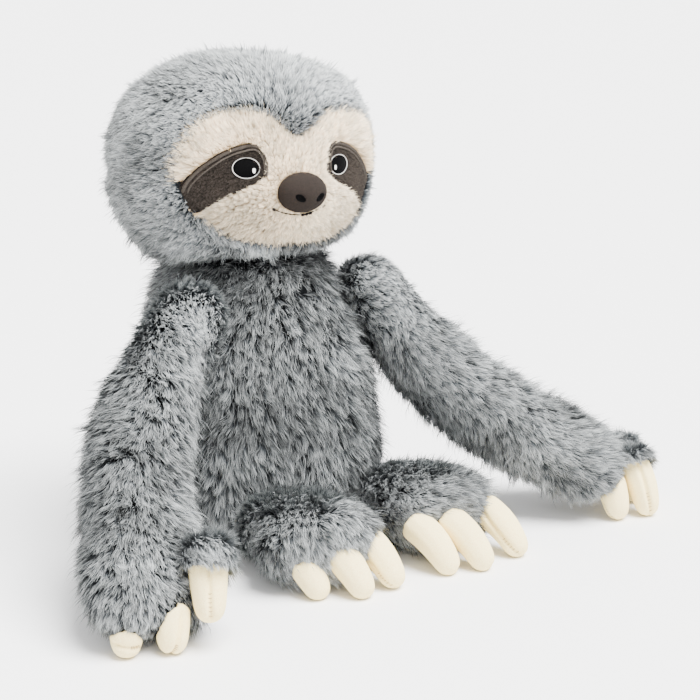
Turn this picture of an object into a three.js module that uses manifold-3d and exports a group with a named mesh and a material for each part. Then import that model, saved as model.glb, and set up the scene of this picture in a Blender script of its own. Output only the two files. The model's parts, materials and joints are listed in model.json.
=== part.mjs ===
import * as THREE from 'three';
import { mergeVertices } from 'three/addons/utils/BufferGeometryUtils.js';
import Module from 'manifold-3d';

// A sitting plush sloth with long arms, stuffed hands and feet, and soft claws.
// Millimetres, +Z up. The face looks along -Y, and +X is the toy's own left.
// The origin is on the floor, in the middle of the flat seat.

const wasm = await Module();
wasm.setup();

// Clearances and cutting tools
const SEAM_GAP = 0.3;
const FLOOR_SINK = 0.5;
const TOOL_REACH = 800;
const WELD = 0.0001;

// Pile fabric, backing and fur together
const FUR_WALL = 9;
const FACE_WALL = 4;

// Torso: a pear that leans back, flat where it sits and where the head is sewn on
const TORSO_HEIGHT = 182;
const TORSO_WIDTH = 156;
const TORSO_DEPTH = 128;
const TORSO_LEAN = 30;
const LEAN_POWER = 1.5;
const NECK_OPENING = 40;
const NECK_REACH = 27;
const PELLET_BAG_WIDTH = 78;
const PELLET_BAG_HEIGHT = 24;

// Head: wider than tall, sewn to the torso at a flat ring; the face side is squarer, with
// full cheeks, and the back is round
const HEAD_WIDTH = 184;
const HEAD_FRONT = 69;
const HEAD_BACK = 56;
const HEAD_HEIGHT = 136;
const HEAD_RISE = 53;
const HEAD_CORE_WIDTH = 166;
const HEAD_CORE_FRONT = 55;
const HEAD_CORE_BACK = 47;
const HEAD_CORE_HEIGHT = 114;
const HEAD_ROLL_DEG = 3;
const HEAD_SQUARENESS = 2.4;
const FACE_SQUARENESS = 3;
const CHEEK_SQUARENESS = 2.5;
const MUZZLE_RISE = 8;
const MUZZLE_WIDTH = 68;
const MUZZLE_HEIGHT = 52;
const MUZZLE_DROP = 20;

// Face panels and embroidery
const FACE_WIDTH = 147;
const FACE_HEIGHT = 83;
const FACE_DROP = 6.5;
const FACE_SEAM_FORWARD = 22;
const EYE_SPREAD = 35;
const EYE_RISE = 2;
const EYE_WIDTH = 16;
const EYE_HEIGHT = 13.4;
const EYE_RIM = 1.2;
const GLINT_WIDTH = 2.8;
const GLINT_INSIDE = 4.6;
const STITCH_HEIGHT = 1;
const SHARPEST_CORNER = 0.5;
const NOSE_WIDTH = 36;
const NOSE_HEIGHT = 25;
const NOSE_DEPTH = 22;
const NOSE_DROP = 13;
const NOSTRIL_WIDTH = 7.6;
const NOSTRIL_HEIGHT = 3.8;
const NOSTRIL_SPREAD = 7.5;
const NOSTRIL_DROP = 2.2;
const NOSTRIL_TILT_DEG = 28;
const MOUTH_WIDTH = 41;
const MOUTH_DIP = 6.8;
const MOUTH_DROP = 21;
const MOUTH_THREAD = 1.6;

// Arms: a ball at the shoulder, a sleeve that swells and a flat hand. The end of an arm's
// middle line rests this far above the floor, however long the arm or high the shoulder.
const SHOULDER_RADIUS = 25;
const SHOULDER_SPREAD = 70;
const SHOULDER_HEIGHT = 150;
const SHOULDER_FORWARD = 15;
const ARM_LENGTH = 220;
const ARM_WIDTH = 59;
const ARM_THICKNESS = 54;
const HAND_WIDTH = 70;
const HAND_THICKNESS = 50;
const RIGHT_HAND_REST = 11;
const LEFT_HAND_REST = 26;
const STEEPEST_ARM = 0.96;

// Legs: short and thick, with the foot lying flat in front
const HIP_RADIUS = 25;
const HIP_SPREAD = 46;
const HIP_FORWARD = 66;
const LEG_LENGTH = 60;
const FOOT_WIDTH = 76;
const FOOT_HEIGHT = 54;
const LIMB_OPENING = 20;

// How far each limb swings up and forward, and the steps in which it is cleared
const ARM_SWING_DEG = 100;
const LEG_SWING_DEG = 35;
const SWING_STEP_DEG = 4;

// Claws, three on each hand and foot
const CLAW_LENGTH = 42;
const CLAW_WIDTH = 21;
const CLAW_THICKNESS = 18;
const CLAW_ROOT = 13;

// Facets: rings along a form and sides around it
const TORSO_RINGS = 17;
const TORSO_SIDES = 24;
const HEAD_RINGS = 18;
const HEAD_SIDES = 28;
const FACE_RINGS = 20;
const FACE_SIDES = 32;
const CORE_RINGS = 8;
const CORE_SIDES = 14;
const HEAD_CORE_RINGS = 10;
const HEAD_CORE_SIDES = 18;
const BAG_RINGS = 6;
const BAG_SIDES = 16;
const DISH_RINGS = 14;
const DISH_SIDES = 20;
const CORE_DISH_RINGS = 8;
const CORE_DISH_SIDES = 10;
const ROD_SIDES = 20;
const FACE_STEPS = 22;
const PATCH_STEPS = 24;
const OVAL_STEPS = 16;
const NOSE_RINGS = 10;
const NOSE_SIDES = 16;
const NOSTRIL_RINGS = 5;
const NOSTRIL_SIDES = 8;
const MOUTH_STEPS = 12;
const THREAD_STEPS = 5;
const BALL_RINGS = 5;
const CORE_BALL_RINGS = 3;
const ARM_RINGS = 14;
const LEG_RINGS = 8;
const LIMB_SIDES = 16;
const LIMB_CORE_SIDES = 10;
const CLAW_RINGS = 8;
const CLAW_SIDES = 10;

// The torso from the seat to the neck: share of the height, then of the half width
const torsoShares = [
  [-0.03, 0.52], [0, 0.68], [0.05, 0.84], [0.15, 0.96], [0.30, 1], [0.55, 0.98],
  [0.72, 0.92], [0.84, 0.83], [0.94, 0.70], [1.03, 0.56],
];
// The pellet bag in the seat, in the same way
const bagShares = [[0, 0.82], [0.25, 1], [0.6, 0.9], [0.88, 0.55], [1, 0]];
// A limb from its joint to the finger end: share of the length, of the half width
// and of the half thickness; the end of the arm is sized by the hand
const armShares = [
  [0.16, 0.84, 0.92], [0.34, 0.96, 0.98], [0.52, 1, 1], [0.68, 1.04, 0.98],
];
const handShares = [
  [0.82, 1, 0.96], [0.91, 1, 0.78], [0.97, 0.80, 0.52], [1, 0, 0],
];
const legShares = [
  [0.20, 0.96, 1.0], [0.45, 1, 1], [0.70, 0.98, 0.98], [0.86, 0.84, 0.88], [0.96, 0.55, 0.60], [1, 0, 0],
];
const clawShares = [
  [0, 1], [0.2, 1], [0.42, 0.96], [0.66, 0.86], [0.84, 0.75], [0.95, 0.52], [1, 0],
];
// Directions of each third of a limb: outward, back, up
const armPoses = {
  right: [[0.45, -0.10, -0.75], [0.33, -0.39, -0.78], [0.07, -0.73, -0.67]],
  left: [[0.43, -0.39, -0.82], [0.63, -0.57, -0.54], [0.75, -0.62, -0.28]],
};
const legPoses = {
  right: [[-0.45, -0.90, 0], [0.05, -1, 0], [0.30, -0.95, 0]],
  left: [[0.30, -0.95, 0], [0.10, -1, 0], [-0.14, -0.99, 0]],
};
// Which way the flat of a limb is held at its joint and end: to the toy's left, forward, up
const handRest = { right: RIGHT_HAND_REST, left: LEFT_HAND_REST };
const armLevels = {
  right: [[0.87, 0.49, 0], [1, 0.10, 0]],
  left: [[0.87, -0.49, 0], [0.90, -0.40, 0]],
};
const legLevels = {
  right: [[1, 0.1, 0], [0.90, 0.43, 0]],
  left: [[1, 0, 0], [0.99, 0.14, 0]],
};

// How the claws lie on a hand or foot, all to the toy's left, forward and up. way: the way
// they leave the fur. rootShares: where each starts, from the middle of the limb's end, in
// shares of a claw's length.
const clawPoses = {
  right_hand: {
    way: [-0.38, 0.65, -0.58], curlDeg: 33,
    rootShares: [[-0.29, -0.38, 0.37], [0.22, -0.10, 0.37], [0.67, 0.10, 0.75]],
  },
  left_hand: {
    way: [-0.16, 0.80, -0.57], curlDeg: 42,
    rootShares: [[-0.14, 0.05, 0.08], [0.36, 0.23, 0.08], [0.71, -0.32, 0.08]],
  },
  right_foot: {
    way: [0.12, 0.95, -0.28], curlDeg: 43,
    rootShares: [[-0.45, -0.37, 0.01], [0.05, -0.01, 0.01], [0.60, 0.00, 0.03]],
  },
  left_foot: {
    way: [0.09, 0.96, -0.26], curlDeg: 42,
    rootShares: [[-0.64, 0.04, -0.01], [-0.14, 0.23, -0.01], [0.61, 0.16, 0.00]],
  },
};

// Outlines on the face: shares of the half width and half height of the panel
const faceShares = [
  [0, 0.62], [0.10, 0.72], [0.18, 0.85], [0.33, 0.97], [0.50, 1], [0.70, 0.95], [0.85, 0.80],
  [0.94, 0.56], [0.99, 0.33], [1, 0.09], [0.97, -0.12], [0.90, -0.38], [0.81, -0.59],
  [0.68, -0.77], [0.50, -0.91], [0.28, -0.98], [0.10, -1], [0, -0.98],
];
const patchShares = [
  [0.41, 0.53], [0.54, 0.50], [0.68, 0.40], [0.80, 0.25], [0.89, 0.10], [0.96, -0.06],
  [1.08, -0.22], [1.08, -0.52], [0.90, -0.62], [0.82, -0.50], [0.77, -0.40], [0.70, -0.29],
  [0.60, -0.18], [0.45, -0.07], [0.36, 0.02], [0.31, 0.16], [0.33, 0.42],
];

const colours = {
  fur: 0x8f979b,
  face: 0xdfd2c1,
  patch: 0x5d524b,
  nose: 0x6b6058,
  claw: 0xefe6cf,
  blackThread: 0x15161a,
  whiteThread: 0xf3f1ec,
  mouthThread: 0x4a3f39,
  filling: 0xf2f1ee,
  pellets: 0xd9d6cf,
};

const sloth = new THREE.Group();

// A closed mesh with its vertices welded becomes a solid with its faces pointing out
function toSolid(geometry) {
  const bare = geometry.clone();
  bare.deleteAttribute('normal');
  bare.deleteAttribute('uv');
  const welded = mergeVertices(bare, WELD);
  const place = welded.attributes.position;
  const corners = welded.index.array;
  const [a, b, c] = [new THREE.Vector3(), new THREE.Vector3(), new THREE.Vector3()];
  const kept = [];
  let volume = 0;
  for (let i = 0; i < corners.length; i += 3) {
    const [first, second, third] = [corners[i], corners[i + 1], corners[i + 2]];
    if (first === second || second === third || third === first) continue;
    kept.push([first, second, third]);
    a.fromBufferAttribute(place, first);
    b.fromBufferAttribute(place, second);
    c.fromBufferAttribute(place, third);
    volume += a.dot(b.cross(c));
  }
  if (volume < 0) kept.forEach((triangle) => triangle.reverse());
  return new wasm.Manifold(new wasm.Mesh({
    numProp: 3,
    vertProperties: Float32Array.from(place.array),
    triVerts: Uint32Array.from(kept.flat()),
  }));
}

function toGeometry(solid) {
  const mesh = solid.getMesh();
  const geometry = new THREE.BufferGeometry();
  geometry.setAttribute('position', new THREE.BufferAttribute(mesh.vertProperties, 3));
  geometry.setIndex(new THREE.BufferAttribute(mesh.triVerts, 1));
  geometry.computeVertexNormals();
  return geometry;
}

function addPiece(group, name, solid, colour, roughness) {
  const material = new THREE.MeshStandardMaterial({ color: colour, roughness, metalness: 0 });
  const mesh = new THREE.Mesh(toGeometry(solid), material);
  mesh.name = name;
  group.add(mesh);
}

// A form turned round its length: each ring has its place along, half width and half
// thickness, and layOut says where a point of the form lies in space
function turnedForm(rings, sides, layOut) {
  const outline = rings.map((ring) => new THREE.Vector2(ring.across, ring.along));
  const geometry = new THREE.LatheGeometry(outline, sides);
  const place = geometry.attributes.position;
  const point = new THREE.Vector3();
  for (let i = 0; i < place.count; i += 1) {
    point.fromBufferAttribute(place, i);
    const ring = rings[i % rings.length];
    const flatten = ring.across > 0 ? ring.deep / ring.across : 1;
    layOut(point, point.x, point.z * flatten, point.y);
    place.setXYZ(i, point.x, point.y, point.z);
  }
  return toSolid(geometry);
}

// Rings on a smooth curve through hand-chosen stations
function smoothRings(stations, count) {
  const curve = new THREE.CatmullRomCurve3(
    stations.map((s) => new THREE.Vector3(s.along, s.across, s.deep)), false, 'centripetal');
  return curve.getPoints(count).map((p) => ({
    along: p.x, across: Math.max(p.y, 0), deep: Math.max(p.z, 0),
  }));
}

function capped(rings) {
  const [first, last] = [rings[0], rings[rings.length - 1]];
  const closed = [...rings];
  if (first.across > 0) closed.unshift({ along: first.along, across: 0, deep: 0 });
  if (last.across > 0) closed.push({ along: last.along, across: 0, deep: 0 });
  return closed;
}

// A ball whose flat facets stay outside the radius, to cut a dish for a round end
function dishTool(radius, centre, around, over) {
  const swell = 1 / (Math.cos(Math.PI / around) * Math.cos(Math.PI / (2 * over)));
  const ball = new THREE.SphereGeometry(radius * swell, around, over);
  ball.translate(centre.x, centre.y, centre.z);
  return toSolid(ball);
}

function rodTool(radius, length, direction, start) {
  const rod = new THREE.CylinderGeometry(radius, radius, length, ROD_SIDES);
  rod.translate(0, length / 2, 0);
  const turn = new THREE.Quaternion().setFromUnitVectors(new THREE.Vector3(0, 1, 0), direction);
  rod.applyQuaternion(turn);
  rod.translate(start.x, start.y, start.z);
  return toSolid(rod);
}

// Everything under a level, in the coordinates of a group
function belowTool(level, group) {
  const block = new THREE.BoxGeometry(TOOL_REACH, TOOL_REACH, TOOL_REACH);
  block.translate(0, 0, level - TOOL_REACH / 2);
  group.updateMatrixWorld(true);
  block.applyMatrix4(group.matrixWorld.clone().invert());
  return toSolid(block);
}

// Torso

const sides = { right: -1, left: 1 };
const seatAt = new THREE.Vector3();
const neckAt = new THREE.Vector3(0, TORSO_LEAN, TORSO_HEIGHT);
const shoulderAt = (side) => new THREE.Vector3(
  sides[side] * SHOULDER_SPREAD, -SHOULDER_FORWARD, SHOULDER_HEIGHT);
const hipAt = (side) => new THREE.Vector3(
  sides[side] * HIP_SPREAD, -HIP_FORWARD, HIP_RADIUS - FLOOR_SINK);

// The torso's outer form, drawn in by an inset, in the coordinates of an origin
function torsoForm(inset, bottom, top, count, around, origin = seatAt) {
  const halfWidth = TORSO_WIDTH / 2;
  const halfDepth = TORSO_DEPTH / 2;
  const span = top - bottom;
  const stations = torsoShares.map(([up, out]) => ({
    along: bottom + up * span,
    across: halfWidth * out - inset,
    deep: halfDepth * out - inset,
  }));
  return turnedForm(capped(smoothRings(stations, count)), around, (point, across, deep, along) => {
    const up = Math.max(along, 0) / TORSO_HEIGHT;
    point.set(across, deep + TORSO_LEAN * up ** LEAN_POWER, along).sub(origin);
  });
}

// Dishes for the round ends of the limbs
function cutDishes(solid, margin, around, over, origin = seatAt) {
  let cut = solid;
  for (const side of Object.keys(sides)) {
    const shoulder = shoulderAt(side).sub(origin);
    const hip = hipAt(side).sub(origin);
    cut = cut.subtract(dishTool(SHOULDER_RADIUS + margin, shoulder, around, over));
    cut = cut.subtract(dishTool(HIP_RADIUS + margin, hip, around, over));
  }
  return cut;
}

// The inside of the torso, drawn in by an inset from the fur and from each dish
function torsoCore(inset) {
  const form = torsoForm(inset, inset, TORSO_HEIGHT - inset, CORE_RINGS, CORE_SIDES);
  return cutDishes(form, inset, CORE_DISH_SIDES, CORE_DISH_RINGS).subtract(belowTool(inset, sloth));
}

function makeTorso() {
  const up = new THREE.Vector3(0, 0, 1);
  const floor = belowTool(0, sloth);
  const aboveNeck = belowTool(TORSO_HEIGHT, sloth);
  const neckStart = new THREE.Vector3(0, TORSO_LEAN, TORSO_HEIGHT - NECK_REACH);
  const neckHole = rodTool(NECK_OPENING / 2, 2 * NECK_REACH, up, neckStart);
  const outer = torsoForm(0, 0, TORSO_HEIGHT, TORSO_RINGS, TORSO_SIDES)
    .subtract(floor).intersect(aboveNeck);
  const cover = cutDishes(outer, SEAM_GAP, DISH_SIDES, DISH_RINGS)
    .subtract(torsoCore(FUR_WALL)).subtract(neckHole);
  addPiece(sloth, 'torso_cover', cover, colours.fur, 0.95);

  const core = torsoCore(FUR_WALL + SEAM_GAP);
  const neckLength = TORSO_HEIGHT - neckStart.z;
  const neckCore = rodTool(NECK_OPENING / 2 - SEAM_GAP, neckLength, up, neckStart);
  const filling = core.add(neckCore).subtract(pelletBag(SEAM_GAP));
  addPiece(sloth, 'torso_filling', filling, colours.filling, 1);
  addPiece(sloth, 'seat_pellet_bag', pelletBag(0), colours.pellets, 0.9);
}

// A flat-bottomed bag of pellets that weights the seat
function pelletBag(grown) {
  const halfWidth = PELLET_BAG_WIDTH / 2 + grown;
  const height = PELLET_BAG_HEIGHT + 2 * grown;
  const bottom = FUR_WALL + SEAM_GAP - grown;
  const stations = bagShares.map(([up, out]) => ({
    along: bottom + up * height,
    across: halfWidth * out,
    deep: halfWidth * out * TORSO_DEPTH / TORSO_WIDTH,
  }));
  const rings = capped(smoothRings(stations, BAG_RINGS));
  return turnedForm(rings, BAG_SIDES, (point, across, deep, along) => {
    point.set(across, deep, along);
  });
}

// Head

const headGroup = new THREE.Group();
headGroup.position.set(0, TORSO_LEAN, TORSO_HEIGHT + HEAD_RISE);
headGroup.rotation.y = THREE.MathUtils.degToRad(HEAD_ROLL_DEG);
sloth.add(headGroup);

function muzzleRise(x, z) {
  const across = x / (MUZZLE_WIDTH / 2);
  const up = (z + MUZZLE_DROP) / (MUZZLE_HEIGHT / 2);
  return MUZZLE_RISE * Math.exp(-(across ** 2) - up ** 2);
}

const roundedShare = (share, power) => Math.max(1 - Math.abs(share) ** power, 0) ** (1 / power);
const frontDepth = (up, front) => front * roundedShare(up, FACE_SQUARENESS);
const backDepth = (up, back) => back * roundedShare(up, HEAD_SQUARENESS);

// The head from its half width, front, back and half height, all grown by a margin
function headForm(size, grown, muzzleShare, count, around) {
  const [halfWidth, front, back, halfHeight] = size.map((length) => length + grown);
  const rings = [];
  for (let i = 0; i <= count; i += 1) {
    const angle = Math.PI * (i / count - 0.5);
    const out = i % count === 0 ? 0 : Math.cos(angle) ** (2 / HEAD_SQUARENESS);
    const up = Math.sign(Math.sin(angle)) * Math.abs(Math.sin(angle)) ** (2 / HEAD_SQUARENESS);
    rings.push({ along: halfHeight * up, across: halfWidth * out, deep: halfWidth * out });
  }
  return turnedForm(rings, around, (point, across, deep, along) => {
    const radius = Math.hypot(across, deep) || 1;
    const forward = deep < 0;
    const power = forward ? 2 / CHEEK_SQUARENESS : 1;
    const side = radius * (Math.abs(across) / radius) ** power;
    const share = (Math.abs(deep) / radius) ** power;
    const up = along / halfHeight;
    const reach = share * (forward ? frontDepth(up, front) : backDepth(up, back));
    const muzzle = muzzleShare * Math.min(1, 2 * reach / front) * muzzleRise(side, along);
    point.set(Math.sign(across) * side, forward ? -reach - muzzle : reach, along);
  });
}

const headSize = [HEAD_WIDTH / 2, HEAD_FRONT, HEAD_BACK, HEAD_HEIGHT / 2];
const coreSize = [HEAD_CORE_WIDTH / 2, HEAD_CORE_FRONT, HEAD_CORE_BACK, HEAD_CORE_HEIGHT / 2];
const faceForm = (lift) => headForm(coreSize, FACE_WALL + lift, 1, FACE_RINGS, FACE_SIDES);
const headCore = (grown) => headForm(coreSize, grown, 1, HEAD_CORE_RINGS, HEAD_CORE_SIDES);

function faceDepth(x, z) {
  const [halfWidth, front, , halfHeight] = coreSize.map((length) => length + FACE_WALL);
  const up = z / halfHeight;
  const across = x / (halfWidth * roundedShare(up, HEAD_SQUARENESS));
  const round = roundedShare(Math.min(Math.abs(across), 1), CHEEK_SQUARENESS);
  return -frontDepth(up, front) * round - muzzleRise(x, z);
}

// An outline moved outward by a margin, corner by corner
function grownOutline(points, margin) {
  const turning = Math.sign(THREE.ShapeUtils.area(points));
  return points.map((point, i) => {
    const before = points[(i + points.length - 1) % points.length];
    const after = points[(i + 1) % points.length];
    const inward = point.clone().sub(before).normalize();
    const onward = after.clone().sub(point).normalize();
    const normal = new THREE.Vector2(inward.y + onward.y, -inward.x - onward.x).normalize();
    const reach = margin / Math.max(normal.dot(new THREE.Vector2(inward.y, -inward.x)), SHARPEST_CORNER);
    return point.clone().addScaledVector(normal, turning * reach);
  });
}

// An outline on the face, pushed forward through the head
function faceTool(points, margin) {
  const shape = new THREE.Shape(grownOutline(points, margin));
  const block = new THREE.ExtrudeGeometry(shape, { depth: HEAD_FRONT, bevelEnabled: false });
  block.rotateX(Math.PI / 2);
  block.translate(0, margin - FACE_SEAM_FORWARD, 0);
  return toSolid(block);
}

function faceOutline() {
  const half = faceShares.map(([out, up]) => new THREE.Vector2(
    out * FACE_WIDTH / 2, up * FACE_HEIGHT / 2 - FACE_DROP));
  const right = new THREE.SplineCurve(half).getPoints(FACE_STEPS);
  const left = right.slice(1, -1).reverse().map((p) => new THREE.Vector2(-p.x, p.y));
  return [...right, ...left];
}

function patchOutline(side) {
  const points = patchShares.map(([out, up]) => new THREE.Vector2(
    sides[side] * out * FACE_WIDTH / 2, up * FACE_HEIGHT / 2 - FACE_DROP));
  const loop = new THREE.SplineCurve([...points, points[0]]).getPoints(PATCH_STEPS);
  return loop.slice(0, -1);
}

function oval(x, z, width, height) {
  const curve = new THREE.EllipseCurve(x, z, width / 2, height / 2, 0, 2 * Math.PI);
  return curve.getPoints(OVAL_STEPS).slice(0, -1);
}

function plate(outline, margin, lift) {
  return faceForm(lift + STITCH_HEIGHT).intersect(faceTool(outline, margin)).subtract(faceForm(lift));
}

function makeEye(side) {
  const [x, z] = [sides[side] * EYE_SPREAD, EYE_RISE];
  const ball = oval(x, z, EYE_WIDTH, EYE_HEIGHT);
  const ring = oval(x, z, EYE_WIDTH + 2 * EYE_RIM, EYE_HEIGHT + 2 * EYE_RIM);
  const rim = plate(ring, 0, SEAM_GAP).subtract(faceTool(ball, SEAM_GAP));
  addPiece(headGroup, `${side}_eye_rim`, rim, colours.whiteThread, 0.6);
  addPiece(headGroup, `${side}_eye`, plate(ball, 0, SEAM_GAP), colours.blackThread, 0.4);
  const glint = oval(x - sides[side] * GLINT_INSIDE, z, GLINT_WIDTH, GLINT_WIDTH);
  const above = 2 * SEAM_GAP + STITCH_HEIGHT;
  addPiece(headGroup, `${side}_eye_glint`, plate(glint, 0, above), colours.whiteThread, 0.6);
}

function noseForm(grown) {
  const ball = new THREE.SphereGeometry(1, NOSE_SIDES, NOSE_RINGS);
  ball.rotateX(Math.PI / 2);
  ball.scale(NOSE_WIDTH / 2 + grown, NOSE_DEPTH / 2 + grown, NOSE_HEIGHT / 2 + grown);
  ball.translate(0, faceDepth(0, -NOSE_DROP), -NOSE_DROP);
  return toSolid(ball);
}

function nostrilForm(side, grown) {
  const ball = new THREE.SphereGeometry(1, NOSTRIL_SIDES, NOSTRIL_RINGS);
  const [halfWidth, halfHeight] = [NOSTRIL_WIDTH / 2 + grown, NOSTRIL_HEIGHT / 2 + grown];
  ball.scale(halfWidth, halfHeight, halfHeight);
  ball.rotateY(THREE.MathUtils.degToRad(-sides[side] * NOSTRIL_TILT_DEG));
  const out = NOSTRIL_SPREAD / (NOSE_WIDTH / 2);
  const down = NOSTRIL_DROP / (NOSE_HEIGHT / 2);
  const proud = NOSE_DEPTH / 2 * Math.sqrt(1 - out ** 2 - down ** 2);
  const middle = faceDepth(0, -NOSE_DROP) - proud;
  ball.translate(sides[side] * NOSTRIL_SPREAD, middle, -NOSE_DROP - NOSTRIL_DROP);
  return toSolid(ball);
}

function makeNose() {
  const skin = faceForm(SEAM_GAP);
  let nose = noseForm(0).subtract(skin);
  for (const side of Object.keys(sides)) {
    nose = nose.subtract(nostrilForm(side, SEAM_GAP));
    const nostril = nostrilForm(side, 0).intersect(noseForm(STITCH_HEIGHT / 2));
    addPiece(headGroup, `${side}_nostril`, nostril, colours.blackThread, 0.5);
  }
  addPiece(headGroup, 'nose', nose, colours.nose, 0.9);
}

function makeMouth() {
  const points = [-1, -0.5, 0, 0.5, 1].map((share) => {
    const x = share * MOUTH_WIDTH / 2;
    const z = -MOUTH_DROP - MOUTH_DIP * (1 - share ** 2);
    return new THREE.Vector3(x, faceDepth(x, z) - SEAM_GAP, z);
  });
  const round = new THREE.EllipseCurve(0, 0, MOUTH_THREAD / 2, MOUTH_THREAD / 2);
  const thread = new THREE.Shape(round.getPoints(THREAD_STEPS));
  const stitch = new THREE.ExtrudeGeometry(thread, {
    steps: MOUTH_STEPS, extrudePath: new THREE.CatmullRomCurve3(points),
  });
  const mouth = toSolid(stitch).subtract(faceForm(SEAM_GAP));
  addPiece(headGroup, 'mouth_stitch', mouth, colours.mouthThread, 0.8);
}

function makeHead() {
  const underNeck = belowTool(TORSO_HEIGHT + SEAM_GAP, headGroup);
  const toHead = headGroup.matrixWorld.clone().invert();
  const neckUp = new THREE.Vector3(0, 0, 1).transformDirection(toHead);
  const neckBase = headGroup.worldToLocal(neckAt.clone());
  const hollow = headCore(0).subtract(belowTool(TORSO_HEIGHT + FUR_WALL, headGroup));
  const neckHole = rodTool(NECK_OPENING / 2, NECK_REACH, neckUp, neckBase);
  const face = faceOutline();
  const hood = headForm(headSize, 0, 0, HEAD_RINGS, HEAD_SIDES).subtract(underNeck)
    .subtract(faceTool(face, SEAM_GAP)).subtract(hollow).subtract(neckHole);
  addPiece(headGroup, 'head_hood', hood, colours.fur, 0.95);

  let panel = faceForm(0).intersect(faceTool(face, 0)).subtract(hollow);
  for (const side of Object.keys(sides)) {
    const patchTool = faceTool(patchOutline(side), 0);
    const patch = panel.intersect(patchTool);
    panel = panel.subtract(faceTool(patchOutline(side), SEAM_GAP));
    addPiece(headGroup, `${side}_eye_patch`, patch, colours.patch, 0.95);
    makeEye(side);
  }
  addPiece(headGroup, 'face_panel', panel, colours.face, 0.9);
  makeNose();
  makeMouth();

  const inset = FUR_WALL + SEAM_GAP;
  const core = headCore(-SEAM_GAP).subtract(belowTool(TORSO_HEIGHT + inset, headGroup));
  const neckCoreBase = neckBase.clone().addScaledVector(neckUp, SEAM_GAP);
  const neckCore = rodTool(NECK_OPENING / 2 - SEAM_GAP, 2 * FUR_WALL, neckUp, neckCoreBase);
  addPiece(headGroup, 'head_filling', core.add(neckCore), colours.filling, 1);
}

// Limbs

// The rings of a limb: a ball at the joint and then its stations, all drawn in by an inset
function limbRings(limb, inset) {
  const radius = limb.jointRadius - inset;
  const ball = [];
  const ballSteps = inset > 0 ? CORE_BALL_RINGS : BALL_RINGS;
  for (let i = 0; i < ballSteps; i += 1) {
    const angle = (Math.PI / 2) * (1 - i / ballSteps);
    const out = i === 0 ? 0 : radius * Math.cos(angle);
    ball.push({ along: -radius * Math.sin(angle), across: out, deep: out });
  }
  const stations = [{ along: 0, across: radius, deep: radius }];
  for (const { shares, width, thickness } of limb.sections) {
    for (const [along, wide, thick] of shares) {
      const last = wide === 0;
      stations.push({
        along: along * (limb.length - inset),
        across: last ? 0 : wide * width / 2 - inset,
        deep: last ? 0 : thick * thickness / 2 - inset,
      });
    }
  }
  const rings = smoothRings(stations, inset > 0 ? limb.steps / 2 : limb.steps);
  rings[rings.length - 1].across = 0;
  return [...ball, ...rings];
}

// Where a point of a limb lies: its frame runs along the spine with the width held level
function limbPlace(limb, along) {
  const share = Math.min(Math.max(along / limb.length, 0), 1);
  const centre = limb.spine.getPointAt(share);
  const forward = limb.spine.getTangentAt(share);
  centre.addScaledVector(forward, along - share * limb.length);
  const level = limb.levels[0].clone().lerp(limb.levels[1], share);
  const across = level.addScaledVector(forward, -level.dot(forward)).normalize();
  const over = new THREE.Vector3().crossVectors(forward, across).normalize();
  return { centre, forward, across, over };
}

function limbForm(limb, inset) {
  const around = inset > 0 ? LIMB_CORE_SIDES : LIMB_SIDES;
  return turnedForm(limbRings(limb, inset), around, (point, across, deep, along) => {
    const frame = limbPlace(limb, along);
    point.copy(frame.centre).addScaledVector(frame.across, across).addScaledVector(frame.over, deep);
  });
}

// A stuffed claw: a blunt pod that curls down from its root
function clawForm({ base, forward, across, curl }) {
  const over = new THREE.Vector3().crossVectors(forward, across).normalize();
  const tipWay = forward.clone().multiplyScalar(Math.cos(curl)).addScaledVector(over, -Math.sin(curl));
  const bend = base.clone().addScaledVector(forward, CLAW_LENGTH / 2);
  const tip = bend.clone().addScaledVector(tipWay, CLAW_LENGTH / 2);
  const spine = new THREE.QuadraticBezierCurve3(base, bend, tip);
  const stations = clawShares.map(([along, size]) => ({
    along, across: size * CLAW_WIDTH / 2, deep: size * CLAW_THICKNESS / 2,
  }));
  const rings = smoothRings(stations, CLAW_RINGS);
  rings[rings.length - 1].across = 0;
  return turnedForm(capped(rings), CLAW_SIDES, (point, out, deep, along) => {
    const forwardHere = spine.getTangent(along);
    const overHere = new THREE.Vector3().crossVectors(forwardHere, across).normalize();
    point.copy(spine.getPoint(along)).addScaledVector(across, out).addScaledVector(overHere, deep);
  });
}

function makeLimb(limb) {
  const group = new THREE.Group();
  group.position.copy(limb.joint);
  sloth.add(group);
  const floor = belowTool(0, group);
  const outer = limbForm(limb, 0);
  const seam = limb.seamWay;
  const opening = rodTool(LIMB_OPENING / 2, limb.jointRadius, seam, new THREE.Vector3());
  const cover = clearTorso(outer.subtract(floor), limb)
    .subtract(limbForm(limb, FUR_WALL)).subtract(opening);
  addPiece(group, `${limb.name}_cover`, cover, colours.fur, 0.95);

  const plugLength = limb.jointRadius - FUR_WALL / 3;
  const plug = rodTool(LIMB_OPENING / 2 - SEAM_GAP, plugLength, seam, new THREE.Vector3());
  const filling = limbForm(limb, FUR_WALL + SEAM_GAP).add(plug);
  addPiece(group, `${limb.name}_filling`, filling, colours.filling, 1);

  clawRow(limb).forEach((claw, i) => {
    const solid = clawForm(claw).subtract(limbForm(limb, -SEAM_GAP)).subtract(floor);
    addPiece(group, `${limb.end}_claw_${i + 1}`, solid, colours.claw, 0.85);
  });
}

// Three claws side by side across the end of a limb
function clawRow(limb) {
  const { way, curlDeg, rootShares } = clawPoses[limb.end];
  const middle = limbPlace(limb, limb.length - CLAW_ROOT).centre;
  const forward = leftForwardUp(way).normalize();
  const across = new THREE.Vector3(-forward.y, forward.x, 0).normalize();
  const curl = THREE.MathUtils.degToRad(curlDeg);
  return rootShares.map((shares) => {
    const base = middle.clone().addScaledVector(leftForwardUp(shares), CLAW_LENGTH);
    return { base, forward, across, curl };
  });
}

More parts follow.
